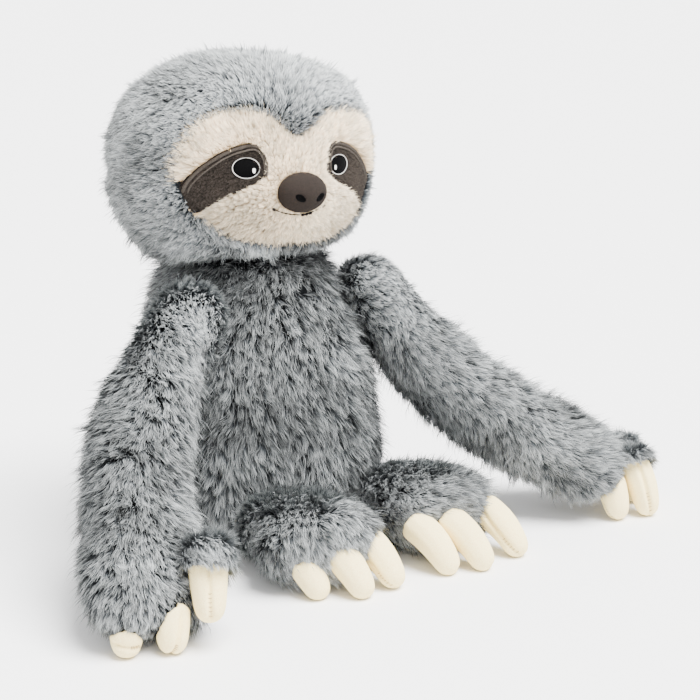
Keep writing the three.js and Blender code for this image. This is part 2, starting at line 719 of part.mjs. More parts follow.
// A limb keeps clear of the torso all the way through its swing
function clearTorso(solid, limb) {
  let cut = solid;
  const torso = torsoKeepOut(limb.joint);
  const steps = Math.ceil(limb.swingDeg / SWING_STEP_DEG);
  for (let i = 0; i <= steps; i += 1) {
    cut = cut.subtract(torso.rotate([limb.swingDeg * i / steps, 0, 0]));
  }
  return cut;
}

// The space that the torso takes, seen from a limb's joint
function torsoKeepOut(joint) {
  const grown = torsoForm(-SEAM_GAP, 0, TORSO_HEIGHT, TORSO_RINGS, TORSO_SIDES, joint);
  return cutDishes(grown, SEAM_GAP / 2, DISH_SIDES, DISH_RINGS, joint);
}

// A limb's spine starts at its joint and bends a little at each third
function limbSpine(ways, length) {
  const points = [new THREE.Vector3()];
  ways.forEach((way, i) => points.push(points[i].clone().addScaledVector(way, length / 3)));
  return new THREE.CubicBezierCurve3(...points);
}

const limbWays = (side, poses) => poses[side].map(([out, back, up]) => (
  new THREE.Vector3(sides[side] * out, back, up).normalize()));

// An arm's ways, made steeper or flatter together until its end rests at a height
function restingWays(ways, length, drop) {
  const fall = ways.reduce((sum, way) => sum - way.z * length / 3, 0);
  return ways.map((way) => {
    const down = Math.min(-way.z * drop / fall, STEEPEST_ARM);
    const flat = Math.sqrt((1 - down ** 2) / (1 - way.z ** 2));
    return new THREE.Vector3(way.x * flat, way.y * flat, -down);
  });
}

const leftForwardUp = ([left, forward, up]) => new THREE.Vector3(left, -forward, up);

function makeArm(side) {
  const drop = SHOULDER_HEIGHT - handRest[side];
  const spine = limbSpine(restingWays(limbWays(side, armPoses), ARM_LENGTH, drop), ARM_LENGTH);
  makeLimb({
    name: `${side}_arm`,
    end: `${side}_hand`,
    joint: shoulderAt(side),
    jointRadius: SHOULDER_RADIUS,
    spine,
    length: spine.getLength(),
    sections: [
      { shares: armShares, width: ARM_WIDTH, thickness: ARM_THICKNESS },
      { shares: handShares, width: HAND_WIDTH, thickness: HAND_THICKNESS },
    ],
    steps: ARM_RINGS,
    levels: armLevels[side].map(leftForwardUp),
    swingDeg: ARM_SWING_DEG,
    seamWay: new THREE.Vector3(-sides[side], 0, 0),
  });
}

function makeLeg(side) {
  const spine = limbSpine(limbWays(side, legPoses), LEG_LENGTH);
  makeLimb({
    name: `${side}_leg`,
    end: `${side}_foot`,
    joint: hipAt(side),
    jointRadius: HIP_RADIUS,
    spine,
    length: spine.getLength(),
    sections: [{ shares: legShares, width: FOOT_WIDTH, thickness: FOOT_HEIGHT }],
    steps: LEG_RINGS,
    levels: legLevels[side].map(leftForwardUp),
    swingDeg: LEG_SWING_DEG,
    seamWay: new THREE.Vector3(0, 1, 0),
  });
}

makeTorso();
makeHead();
for (const side of Object.keys(sides)) {
  makeArm(side);
  makeLeg(side);
}

export default sloth;
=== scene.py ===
import json
import math

import bpy
import numpy as np
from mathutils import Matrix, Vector
from mathutils.bvhtree import BVHTree
from mathutils.kdtree import KDTree


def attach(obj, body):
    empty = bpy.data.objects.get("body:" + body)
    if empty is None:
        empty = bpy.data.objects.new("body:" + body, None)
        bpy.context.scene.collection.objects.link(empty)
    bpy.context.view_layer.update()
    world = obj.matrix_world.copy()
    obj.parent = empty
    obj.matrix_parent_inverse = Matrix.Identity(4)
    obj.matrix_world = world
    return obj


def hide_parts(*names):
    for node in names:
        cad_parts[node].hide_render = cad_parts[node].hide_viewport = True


# A sitting plush sloth: long grey pile over stuffed skins, a short-pile face with
# embroidered eyes and mouth, and stuffed velour claws. Metres, in the frame's own axes.

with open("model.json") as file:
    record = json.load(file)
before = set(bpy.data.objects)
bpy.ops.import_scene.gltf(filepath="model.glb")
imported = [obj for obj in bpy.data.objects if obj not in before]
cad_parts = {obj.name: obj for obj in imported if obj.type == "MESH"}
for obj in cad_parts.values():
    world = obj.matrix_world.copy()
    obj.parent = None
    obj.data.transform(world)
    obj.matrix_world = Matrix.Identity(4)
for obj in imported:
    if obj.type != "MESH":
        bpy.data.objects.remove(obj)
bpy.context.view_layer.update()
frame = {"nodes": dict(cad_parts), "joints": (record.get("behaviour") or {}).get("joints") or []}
nodes = frame["nodes"]
print("frame loaded,", len(nodes), "nodes")


# Reading and making meshes

def meshArrays(mesh):
    mesh.calc_loop_triangles()
    place = np.empty(len(mesh.vertices) * 3, np.float32)
    mesh.vertices.foreach_get("co", place)
    corners = np.empty(len(mesh.loop_triangles) * 3, np.int32)
    mesh.loop_triangles.foreach_get("vertices", corners)
    return place.reshape(-1, 3).astype(float), corners.reshape(-1, 3)


def nodeArrays(*names):
    points, faces, start = [], [], 0
    for name in names:
        place, corners = meshArrays(nodes[name].data)
        points.append(place)
        faces.append(corners + start)
        start += len(place)
    return np.concatenate(points), np.concatenate(faces)


def unit(vectors):
    length = np.linalg.norm(vectors, axis=-1, keepdims=True)
    return vectors / np.maximum(length, 1e-12)


def ramp(value, start, width):
    return np.clip((value - start) / width, 0, 1)


def camelName(name):
    return "".join(part if i == 0 else part.title() for i, part in enumerate(name.split("_")))


def makePiece(name, points, quads, triangles, uvs=None, normals=None):
    loops = np.concatenate([quads.ravel(), triangles.ravel()]).astype(np.int32)
    starts = np.concatenate([
        np.arange(len(quads)) * 4, len(quads) * 4 + np.arange(len(triangles)) * 3])
    mesh = bpy.data.meshes.new(name)
    mesh.vertices.add(len(points))
    mesh.vertices.foreach_set("co", points.astype(np.float32).ravel())
    mesh.loops.add(len(loops))
    mesh.loops.foreach_set("vertex_index", loops)
    mesh.polygons.add(len(starts))
    mesh.polygons.foreach_set("loop_start", starts.astype(np.int32))
    mesh.polygons.foreach_set("use_smooth", np.ones(len(starts), bool))
    mesh.update(calc_edges=True)
    if uvs is not None:
        for layerName in ("fibre", "OFBake"):
            layer = mesh.uv_layers.new(name=layerName)
            layer.data.foreach_set("uv", uvs[loops].astype(np.float32).ravel())
    if normals is not None:
        mesh.normals_split_custom_set_from_vertices(normals.astype(np.float32))
    piece = bpy.data.objects.new(name, mesh)
    bpy.context.scene.collection.objects.link(piece)
    return piece


noQuads = np.zeros((0, 4), int)
noTriangles = np.zeros((0, 3), int)


def remeshed(points, faces, voxel):
    mesh = bpy.data.meshes.new("raw")
    mesh.from_pydata(points.tolist(), [], faces.tolist())
    piece = bpy.data.objects.new("raw", mesh)
    bpy.context.scene.collection.objects.link(piece)
    modifier = piece.modifiers.new("remesh", "REMESH")
    modifier.mode = "VOXEL"
    modifier.voxel_size = voxel
    place, corners = meshArrays(piece.evaluated_get(bpy.context.evaluated_depsgraph_get()).to_mesh())
    bpy.data.objects.remove(piece)
    bpy.data.meshes.remove(mesh)
    return biggestIsland(place, corners)


def biggestIsland(points, faces):
    label = np.arange(len(points))
    while True:
        lowest = label[faces].min(axis=1)
        fresh = label.copy()
        for corner in range(3):
            np.minimum.at(fresh, faces[:, corner], lowest)
        fresh = fresh[fresh]
        if (fresh == label).all():
            break
        label = fresh
    names, sizes = np.unique(label, return_counts=True)
    kept = label == names[sizes.argmax()]
    renumber = np.cumsum(kept) - 1
    return points[kept], renumber[faces[kept[faces[:, 0]]]]


def relaxed(points, faces, steps, share=0.5):
    sides = np.concatenate([faces[:, [0, 1]], faces[:, [1, 2]], faces[:, [2, 0]]])
    a, b = np.unique(np.sort(sides, axis=1), axis=0).T
    count = len(points)
    degree = np.bincount(np.concatenate([a, b]), minlength=count)[:, None]
    for _ in range(steps):
        total = np.stack([
            np.bincount(a, points[b, k], count) + np.bincount(b, points[a, k], count)
            for k in range(3)], axis=1)
        points = points + share * (total / np.maximum(degree, 1) - points)
    return points


def vertexNormals(points, faces):
    a, b, c = points[faces[:, 0]], points[faces[:, 1]], points[faces[:, 2]]
    flat = np.cross(b - a, c - a)
    total = np.stack([
        sum(np.bincount(faces[:, corner], flat[:, k], len(points)) for corner in range(3))
        for k in range(3)], axis=1)
    return unit(total)


# Smooth noise in space, the same on every run

def latticeNoise(points, size, seed):
    scaled = points / size
    base = np.floor(scaled).astype(np.int64)
    part = scaled - base
    part = part * part * (3 - 2 * part)
    total = np.zeros(len(points))
    for corner in np.ndindex(2, 2, 2):
        cell = base + np.array(corner)
        mixed = cell[:, 0] * 73856093 ^ cell[:, 1] * 19349663
        mixed = mixed ^ cell[:, 2] * 83492791 ^ seed * 2654435
        mixed = (mixed ^ (mixed >> 13)) * 1274126177 & 0x7fffffff
        mixed = (mixed ^ (mixed >> 15)) & 0xffff
        weight = np.prod(np.where(np.array(corner) == 1, part, 1 - part), axis=1)
        total += weight * (mixed / 32767.5 - 1)
    return total


# Materials

def linear(code):
    values = [int(code[i:i + 2], 16) / 255 for i in (0, 2, 4)]
    return tuple(v / 12.92 if v <= 0.04045 else ((v + 0.055) / 1.055) ** 2.4 for v in values) + (1,)


def newMaterial(name, roughness, shine=0.12):
    material = bpy.data.materials.new(name)
    material.use_nodes = True
    shader = material.node_tree.nodes["Principled BSDF"]
    shader.inputs["Roughness"].default_value = roughness
    shader.inputs["Specular IOR Level"].default_value = shine
    return material, material.node_tree, shader


def addNode(tree, kind, **values):
    node = tree.nodes.new(kind)
    for key, value in values.items():
        setattr(node, key, value)
    return node


def math2(tree, operation, first, second=None):
    node = addNode(tree, "ShaderNodeMath", operation=operation)
    for socket, value in zip(node.inputs, (first, second)):
        if isinstance(value, (int, float)):
            socket.default_value = value
        elif value is not None:
            tree.links.new(value, socket)
    return node.outputs[0]


def rise(tree, value, low, high, start=0.0, end=1.0):
    node = addNode(tree, "ShaderNodeMapRange", interpolation_type="SMOOTHSTEP")
    tree.links.new(value, node.inputs["Value"])
    for name, number in (("From Min", low), ("From Max", high), ("To Min", start), ("To Max", end)):
        node.inputs[name].default_value = number
    return node.outputs["Result"]


def mixColours(tree, share, first, second, blend="MIX"):
    node = addNode(tree, "ShaderNodeMix", data_type="RGBA", blend_type=blend)
    for socket, value in zip((node.inputs[0], node.inputs[6], node.inputs[7]), (share, first, second)):
        if hasattr(value, "links"):
            tree.links.new(value, socket)
        else:
            socket.default_value = value
    return node.outputs[2]


def pileGroup():
    group = bpy.data.node_groups.new("pile shade", "ShaderNodeTree")
    face = group.interface
    face.new_socket("Fibre", in_out="INPUT", socket_type="NodeSocketVector")
    for name in ("Root", "Middle", "Tip"):
        face.new_socket(name, in_out="INPUT", socket_type="NodeSocketColor")
    face.new_socket("Spread", in_out="INPUT", socket_type="NodeSocketFloat")
    face.new_socket("Colour", in_out="OUTPUT", socket_type="NodeSocketColor")
    start = addNode(group, "NodeGroupInput")
    end = addNode(group, "NodeGroupOutput")
    parts = addNode(group, "ShaderNodeSeparateXYZ")
    group.links.new(start.outputs["Fibre"], parts.inputs[0])
    tone, along = parts.outputs[0], parts.outputs[1]
    lower = mixColours(group, rise(group, along, 0.0, 0.55), start.outputs["Root"], start.outputs["Middle"])
    whole = mixColours(group, rise(group, along, 0.45, 1.0), lower, start.outputs["Tip"])
    shift = math2(group, "MULTIPLY", math2(group, "SUBTRACT", tone, 0.5), start.outputs["Spread"])
    bright = addNode(group, "ShaderNodeHueSaturation")
    group.links.new(math2(group, "ADD", shift, 1.0), bright.inputs["Value"])
    group.links.new(whole, bright.inputs["Color"])
    group.links.new(bright.outputs[0], end.inputs["Colour"])
    return group


def grainGroup():
    group = bpy.data.node_groups.new("cloth grain", "ShaderNodeTree")
    face = group.interface
    face.new_socket("Size", in_out="INPUT", socket_type="NodeSocketFloat")
    face.new_socket("Depth", in_out="INPUT", socket_type="NodeSocketFloat")
    face.new_socket("Mask", in_out="OUTPUT", socket_type="NodeSocketFloat")
    face.new_socket("Normal", in_out="OUTPUT", socket_type="NodeSocketVector")
    start = addNode(group, "NodeGroupInput")
    end = addNode(group, "NodeGroupOutput")
    place = addNode(group, "ShaderNodeTexCoord")
    noise = addNode(group, "ShaderNodeTexNoise")
    noise.inputs["Detail"].default_value = 4
    noise.inputs["Roughness"].default_value = 0.65
    group.links.new(place.outputs["Object"], noise.inputs["Vector"])
    group.links.new(start.outputs["Size"], noise.inputs["Scale"])
    bump = addNode(group, "ShaderNodeBump")
    bump.inputs["Strength"].default_value = 1
    group.links.new(start.outputs["Depth"], bump.inputs["Distance"])
    group.links.new(noise.outputs["Fac"], bump.inputs["Height"])
    group.links.new(noise.outputs["Fac"], end.inputs["Mask"])
    group.links.new(bump.outputs["Normal"], end.inputs["Normal"])
    return group


pileShade = pileGroup()
clothGrain = grainGroup()


def pileMaterial(name, root, middle, tip, spread):
    material, tree, shader = newMaterial(name, 0.75)
    fibre = addNode(tree, "ShaderNodeUVMap", uv_map="fibre")
    shade = addNode(tree, "ShaderNodeGroup", node_tree=pileShade)
    tree.links.new(fibre.outputs[0], shade.inputs["Fibre"])
    for socket, code in (("Root", root), ("Middle", middle), ("Tip", tip)):
        shade.inputs[socket].default_value = linear(code)
    shade.inputs["Spread"].default_value = spread
    tree.links.new(shade.outputs["Colour"], shader.inputs["Base Color"])
    return material


def clothMaterial(name, light, dark, size, depth, roughness=0.9, shine=0.12):
    material, tree, shader = newMaterial(name, roughness, shine)
    grain = addNode(tree, "ShaderNodeGroup", node_tree=clothGrain)
    grain.inputs["Size"].default_value = size
    grain.inputs["Depth"].default_value = depth
    share = rise(tree, grain.outputs["Mask"], 0.3, 0.7)
    tree.links.new(mixColours(tree, share, linear(dark), linear(light)), shader.inputs["Base Color"])
    tree.links.new(grain.outputs["Normal"], shader.inputs["Normal"])
    return material


furMaterial = pileMaterial("grey fur", "0b0e11", "474b4e", "a0a3a2", 1.4)
cuffPile = pileMaterial("cuff pile", "3c4144", "676b6d", "a0a3a2", 1.4)
facePile = pileMaterial("cream pile", "b49a78", "e0caa8", "f3e5cc", 0.9)
patchPile = pileMaterial("brown velour pile", "0b0908", "26211d", "3f3832", 1.2)
skinCloth = clothMaterial("knitted backing", "1d2022", "141618", 900, 0.0002)
sleeveCloth = clothMaterial("cuff backing", "6f7476", "5a5e60", 900, 0.0002)
faceCloth = clothMaterial("cream backing", "d0b68f", "c2a67e", 1200, 0.0002)
patchCloth = clothMaterial("brown velour", "241f1c", "191613", 1500, 0.0003)
seamCloth = clothMaterial("folded velour edge", "4a443e", "302b27", 1500, 0.0003)
noseCloth = clothMaterial("nose velour", "261f1b", "1c1815", 1600, 0.0002)
clawCloth = clothMaterial("ivory velour", "ffefb6", "f5dc9e", 1400, 0.0002)
seamThread = clothMaterial("claw thread", "c2ab84", "a8906a", 2500, 0.0001, 0.6)
blackThread = clothMaterial("black thread", "070708", "040404", 2500, 0.0001, 0.6, 0.02)
whiteThread = clothMaterial("white thread", "f5f3ee", "e2dfd8", 2500, 0.0001, 0.55)
mouthThread = clothMaterial("brown thread", "1d1714", "120e0c", 2500, 0.0001, 0.6)
stuffingCloth = clothMaterial("loose fibre", "f5f4f1", "dddad4", 220, 0.002, 0.95)
pelletCloth = clothMaterial("pellets in cloth", "dedbd4", "bdb9b0", 260, 0.002, 0.6)
print("materials made")


def dress(piece, material, body, slot, *replaced):
    piece.data.materials.clear()
    piece.data.materials.append(material)
    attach(piece, body)
    if replaced:
        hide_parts(*replaced)
    return piece


# Skins under the pile

skinValues = {"voxel": 0.0035, "inset": 0.0055, "relax": 6, "settle": 4}


def makeSkin(name, body, fill, *names):
    points, faces = remeshed(*nodeArrays(*names), skinValues["voxel"])
    points = relaxed(points, faces, skinValues["relax"])
    points = points - vertexNormals(points, faces) * skinValues["inset"]
    points = relaxed(points, faces, skinValues["settle"])
    normals = vertexNormals(points, faces)
    piece = makePiece(f"{name}Skin", points, noQuads, faces)
    dress(piece, skinCloth, body, "fur", names[0])
    return {"points": points, "faces": faces, "normals": normals, "body": body, "name": name}


skins = {
    "torso": makeSkin("torso", "torso", 0.6, "torso_cover", "torso_filling", "seat_pellet_bag"),
    "head": makeSkin("head", "head", 0.8, "head_hood", "head_filling", "face_panel",
                     "right_eye_patch", "left_eye_patch"),
}
for side in ("right", "left"):
    for limb in ("arm", "leg"):
        name = f"{side}_{limb}"
        skins[name] = makeSkin(f"{side}{limb.title()}", name, 0.6, f"{name}_cover", f"{name}_filling")
print("skins made", {key: len(skin["points"]) for key, skin in skins.items()})


# Where things are

headCentre = np.array([0.0, 0.030, 0.235])
roll = math.radians(3)  # the head leans a little to its right
headAxes = np.array([
    [math.cos(roll), 0, math.sin(roll)], [0, 1, 0], [-math.sin(roll), 0, math.cos(roll)]])
faceCentre = np.array([0.0, -0.055, -0.012])  # in the head's own axes, as the next two
noseMiddle = np.array([0, 0, -0.013])
rayStart = -0.3  # well in front of the face
jointPlaces = {joint["child"]: np.array(joint["pos_m"]) for joint in frame["joints"]}


def toHead(points):
    return (points - headCentre) @ headAxes


def fromHead(points):
    return points @ headAxes.T + headCentre


def inFront(across, up):
    return fromHead(np.stack([across, np.full(len(across), rayStart), up], axis=1))


def treeOf(points, faces):
    return BVHTree.FromPolygons(points.tolist(), faces.tolist())


faceTree = treeOf(*nodeArrays("face_panel", "right_eye_patch", "left_eye_patch"))
faceWay = Vector(headAxes @ np.array([0, 1.0, 0]))


def faceHits(across, up):
    return np.array([faceTree.ray_cast(Vector(p), faceWay)[0] is not None for p in inFront(across, up)])


# Fur

def scatter(skin, count, rng):
    points, faces = skin["points"], skin["faces"]
    a, b, c = (points[faces[:, k]] for k in range(3))
    area = np.linalg.norm(np.cross(b - a, c - a), axis=1) / 2
    pick = rng.choice(len(faces), count, p=area / area.sum())
    first, second = rng.random(count), rng.random(count)
    over = first + second > 1
    first[over], second[over] = 1 - first[over], 1 - second[over]
    shares = np.stack([1 - first - second, first, second], axis=1)
    corners = faces[pick]
    roots = np.einsum("ij,ijk->ik", shares, points[corners])
    normals = unit(np.einsum("ij,ijk->ik", shares, skin["normals"][corners]))
    return roots, normals


def turned(flow, normals, angle):
    flow = unit(flow - normals * (flow * normals).sum(axis=1, keepdims=True))
    across = np.cross(normals, flow)
    return flow * np.cos(angle)[:, None] + across * np.sin(angle)[:, None]


strandValues = {
    "bend": 0.7, "guideLoose": 0.38, "guideSpread": 0.14, "loose": 0.16, "spread": 0.22, "leanLoose": 0.12,
    "finer": 0.6, "swirlFiner": 2.7, "mottleFiner": 2.6,  # a second, smaller noise over the first
    "puff": 0.25, "puffSize": 0.014, "stray": 0.45, "clumpRange": (0.45, 1.1), "clumpRise": 0.9,
    "between": 0.6, "toneLoose": 0.13, "toneRange": (0.02, 0.98), "widthRange": (0.7, 1.3), "twist": 0.7,
}


def strandPaths(roots, normals, flow, length, leans, steps):
    path = np.empty((len(roots), steps + 1, 3))
    path[:, 0] = roots
    for step in range(steps):
        share = (step + 0.5) / steps
        lean = leans[0] + (leans[1] - leans[0]) * share ** strandValues["bend"]
        way = normals * np.cos(lean)[:, None] + flow * np.sin(lean)[:, None]
        path[:, step + 1] = path[:, step] + way * (length / steps)[:, None]
    return path


def nearest(guides, roots):
    tree = KDTree(len(guides))
    for i, guide in enumerate(guides):
        tree.insert(guide, i)
    tree.balance()
    found = [tree.find(root)[1:] for root in roots]
    return np.array([i for i, _ in found]), np.array([gap for _, gap in found])


ribbonValues = {"skinShade": 0.65, "ownShade": 0.35, "halfTone": 0.004, "floorGap": 0.0006}


def ribbonPiece(name, path, normals, tones, halfWidth, rng, twist):
    r = ribbonValues
    count, levels = path.shape[:2]
    along = np.gradient(path, axis=1)
    across = unit(np.cross(along, normals[:, None, :]))
    outward = unit(np.cross(across, along))
    angle = rng.uniform(-twist, twist, count)[:, None, None]
    sideways = across * np.cos(angle) + outward * np.sin(angle)
    facing = unit(np.cross(sideways, along))
    taper = np.sqrt(1 - (np.arange(levels - 1) / (levels - 1)) ** 2)[None, :, None]
    half = sideways[:, :-1] * (halfWidth[:, None, None] * taper)
    left, right = path[:, :-1] - half, path[:, :-1] + half
    points = np.concatenate([left, right, path[:, -1:]], axis=1)
    # shaded mostly as the skin is, so that the pile reads as one soft surface
    shading = unit(r["skinShade"] * normals[:, None, :] + r["ownShade"] * facing)
    shading = np.concatenate([shading[:, :-1], shading[:, :-1], shading[:, -1:]], axis=1)
    height = np.arange(levels) / (levels - 1)
    side = np.full((count, levels - 1), r["halfTone"])
    u = np.concatenate([-side, side, np.zeros((count, 1))], axis=1) + tones[:, None]
    v = np.broadcast_to(np.concatenate([height[:-1], height[:-1], height[-1:]]), u.shape)
    each = np.arange(count)[:, None, None] * (2 * levels - 1)
    low = np.arange(levels - 2)
    shape = np.stack([low, low + levels - 1, low + levels, low + 1], axis=1)[None]
    quads = (shape + each).reshape(-1, 4)
    tips = (np.array([[levels - 2, 2 * levels - 3, 2 * levels - 2]])[None] + each).reshape(-1, 3)
    points = points.reshape(-1, 3)
    points[:, 2] = np.maximum(points[:, 2], r["floorGap"])
    uvs = np.stack([u, v], axis=-1).reshape(-1, 2)
    return makePiece(name, points, quads, tips, uvs, shading.reshape(-1, 3))


def growFur(name, skin, values, flowAt, lengthAt, keepAt, material=furMaterial, slot="fur"):
    s = strandValues
    seed = values["seed"]
    rng = np.random.default_rng(seed)
    guides, guideNormals = scatter(skin, values["guides"], rng)
    roots, normals = scatter(skin, values["count"], rng)
    kept = keepAt(roots, normals)
    roots, normals = roots[kept], normals[kept]

    def combed(points, outward, loose):
        size = values["swirlSize"]
        swirl = values["swirl"] * latticeNoise(points, size, seed)
        swirl += values["swirl"] * s["finer"] * latticeNoise(points, size / s["swirlFiner"], seed + 5)
        return turned(flowAt(points, outward), outward, swirl + rng.normal(0, loose, len(points)))

    def grown(points, outward, loose, spread):
        flow = combed(points, outward, loose)
        uneven = rng.uniform(1 - spread, 1 + spread, len(points))
        length = values["length"] * lengthAt(points, outward) * uneven
        tip = np.radians(values["lean"][1]) + rng.normal(0, s["leanLoose"], len(points))
        root = np.radians(values["lean"][0]) + rng.normal(0, s["leanLoose"], len(points))
        puff = s["puff"] * latticeNoise(points, s["puffSize"], seed + 9)
        stray = (rng.random(len(points)) < values["strays"]) * s["stray"]
        leans = (root + puff - stray, tip + puff - stray)
        return strandPaths(points, outward, flow, length * (1 + stray), leans, values["steps"])

    guidePaths = grown(guides, guideNormals, s["guideLoose"], s["guideSpread"])
    path = grown(roots, normals, s["loose"], s["spread"])
    mine, gap = nearest(guides, roots)
    rest = np.arange(values["steps"] + 1) / values["steps"]
    # strands draw together toward the tip of the nearest guide, which makes the tufts
    clump = (values["clump"] * rest ** s["clumpRise"])[None, :, None]
    clump = clump * rng.uniform(*s["clumpRange"], len(roots))[:, None, None]
    path = path * (1 - clump) + guidePaths[mine] * clump
    wave = rng.normal(0, values["frizz"], (len(roots), values["steps"] + 1, 3)) * rest[None, :, None]
    path = path + wave
    guideTone = rng.normal(0, values["tuftTone"], len(guides))
    size = values["mottleSize"]
    tones = 0.5 + values["mottle"] * latticeNoise(roots, size, seed + 3) + guideTone[mine]
    tones += values["mottle"] * s["finer"] * latticeNoise(roots, size / s["mottleFiner"], seed + 4)
    loose = rng.normal(0, s["toneLoose"], len(roots))
    # strands far from their tuft's guide are darker: painted shade in the partings between tufts, over the
    # dark roots that show there
    tones += values["parting"] * (s["between"] - gap / np.median(gap) * s["between"]) + loose
    # the last term adds the painted light and shade set for each skin
    tones += values["tone"] + values["shortTone"] * (1 - lengthAt(roots, normals)) + values["paintedLightAt"](roots)
    tones = np.clip(tones, *s["toneRange"])
    half = values["halfWidth"] * rng.uniform(*s["widthRange"], len(roots))
    for part in range(values["pieces"]):
        mark = slice(part, None, values["pieces"])
        piece = ribbonPiece(
            f"{name}{part + 1}", path[mark], normals[mark], tones[mark], half[mark], rng, s["twist"])
        dress(piece, material, skin["body"], slot)
    print(name, len(roots), "strands")


furValues = {
    "torso": {"seed": 11, "count": 92000, "guides": 6000, "pieces": 3, "tone": -0.31},
    "head": {
        "seed": 23, "count": 110000, "guides": 9500, "pieces": 3, "length": 0.0108, "tone": -0.10,
        "strays": 0.03, "mottle": 0.46},
    "right_arm": {"seed": 37, "count": 52000, "guides": 3000, "pieces": 2, "tone": -0.01},
    "left_arm": {"seed": 41, "count": 52000, "guides": 3000, "pieces": 2, "tone": -0.06},
    "right_leg": {"seed": 53, "count": 34000, "guides": 2000, "pieces": 1, "tone": -0.04, "mottle": 0.20},
    "left_leg": {"seed": 67, "count": 34000, "guides": 2000, "pieces": 1, "tone": -0.05, "mottle": 0.24},
}
sharedFur = {
    "length": 0.0150, "lean": (20, 66), "steps": 3, "clump": 0.62, "frizz": 0.0005, "strays": 0.05,
    "halfWidth": 0.00021, "swirl": 0.75, "swirlSize": 0.045, "tuftTone": 0.13, "parting": 0.25,
    "mottle": 0.30, "mottleSize": 0.028, "tone": 0.0, "shortTone": 0.3, "paintedLightAt": lambda points: 0,
}

# painted light on the pile, as a share added to the tone: lighter forehead and crown where the light falls on
# the head, and lighter pile under the jaw, at the top of the torso and round the shoulders over the shade
# there; and where each starts and how far it fades in
toneValues = {
    "forehead": 0.53, "foreheadFront": (-0.005, 0.03), "foreheadUp": (0.005, 0.03),
    "crown": 0.20, "crownBack": (0, 0.02), "crownUp": (0.010, 0.02), "jaw": 0.22, "jawDown": (0.036, 0.02),
    "neck": 0.26, "neckUp": (0.150, 0.02), "shoulder": 0.12, "shoulderNear": (-0.048, 0.018),
}


# painted light on the head's pile: forehead and crown lighter where the light falls, and the pile under the
# jaw lighter over the shade below the chin
def headPaintedLight(points):
    v = toneValues
    place = toHead(points)
    forehead = ramp(-place[:, 1], *v["foreheadFront"]) * ramp(place[:, 2], *v["foreheadUp"])
    crown = ramp(place[:, 1], *v["crownBack"]) * ramp(place[:, 2], *v["crownUp"])
    return v["forehead"] * forehead + v["jaw"] * lowShare(place) + v["crown"] * crown


# painted light: the torso's pile lighter towards its top, over the shade below the head
def neckPaintedLight(points):
    return toneValues["neck"] * ramp(points[:, 2], *toneValues["neckUp"])


# painted light: the arms' pile lighter near the shoulder joints, over the shade in the gap beside the torso
def shoulderPaintedLight(points):
    far = np.minimum(*[fromJoint(points, f"{side}_arm") for side in ("right", "left")])
    return toneValues["shoulder"] * ramp(-far, *toneValues["shoulderNear"])


furValues["head"]["paintedLightAt"] = headPaintedLight
furValues["torso"]["paintedLightAt"] = neckPaintedLight
furValues["right_arm"]["paintedLightAt"] = shoulderPaintedLight
furValues["left_arm"]["paintedLightAt"] = shoulderPaintedLight
sharedUnder = dict(
    sharedFur, length=0.0085, steps=2, clump=0.3, halfWidth=0.00042, lean=(15, 55), strays=0)

clawNames = [
    f"{side}_{end}_claw_{i}" for side in ("right", "left") for end in ("hand", "foot") for i in (1, 2, 3)]
# the pile is cut short beside the trimmed claws, and cuffs of their own cover the roots of the draped ones
trimmed = ("right_hand_claw_1", "right_hand_claw_2", "left_hand_claw_1")
draped = ("right_hand_claw_3", "left_hand_claw_2", "left_hand_claw_3")
trimTree = treeOf(*nodeArrays(*trimmed))
hangTree = treeOf(*nodeArrays(*[name for name in clawNames if name not in trimmed + draped]))


def gapTo(tree, points):
    return np.array([tree.find_nearest(Vector(p))[3] for p in points])


def fromJoint(points, child):
    return np.linalg.norm(points - jointPlaces[child], axis=1)


limbValues = {
    "slope": 0.9, "trim": 0.0015, "hang": 0.0055, "trimLeast": 0.12, "hangLeast": 0.36,
    "joint": 0.55, "jointRadius": 0.022, "jointReach": 0.03,
    "sole": 0.6, "soleHeight": 0.012, "soleReach": 0.005, "soleFacing": -1.4,
}


def limbLength(name):
    v = limbValues

    def length(points, normals):
        close = (gapTo(trimTree, points) * v["slope"] + v["trim"]) / sharedFur["length"]
        hanging = (gapTo(hangTree, points) * v["slope"] + v["hang"]) / sharedFur["length"]
        away = ramp(fromJoint(points, name), v["jointRadius"], v["jointReach"])
        top = v["joint"] + (1 - v["joint"]) * away
        facing = np.clip(v["soleFacing"] * normals[:, 2], 0, 1)
        sole = ramp(-points[:, 2], -v["soleHeight"], v["soleReach"]) * facing
        beside = np.minimum(np.clip(close, v["trimLeast"], 1), np.clip(hanging, v["hangLeast"], 1))
        return beside * top * (1 - v["sole"] * sole)
    return length


def limbAxis(name):
    points = nodeArrays(f"{name}_cover")[0]
    start = jointPlaces[name]
    far = points[np.linalg.norm(points - start, axis=1).argmax()]
    way = unit(far - start)
    along = (points - start) @ way
    cuts = np.quantile(along, np.linspace(0, 1, 9))
    centres = [points[(along >= low) & (along <= high)].mean(axis=0) for low, high in zip(cuts, cuts[1:])]
    return np.array(centres)


# the ways in which the pile is combed
flowValues = {
    "along": 0.85, "hang": -0.45, "overJoint": (0.2, -0.9, -0.35), "jointRadius": 0.026,
    "jointReach": 0.020, "torsoMiddle": (0, 0.02, 0.10), "torsoOut": 0.35, "faceDepth": 0.45,
    "front": (0.01, 0.04), "back": (-0.01, 0.03), "backKeep": 0.7, "backOver": 0.8, "frontOver": -0.35,
    "sag": -0.25, "backSag": -0.9, "jawSag": -1.1,
}


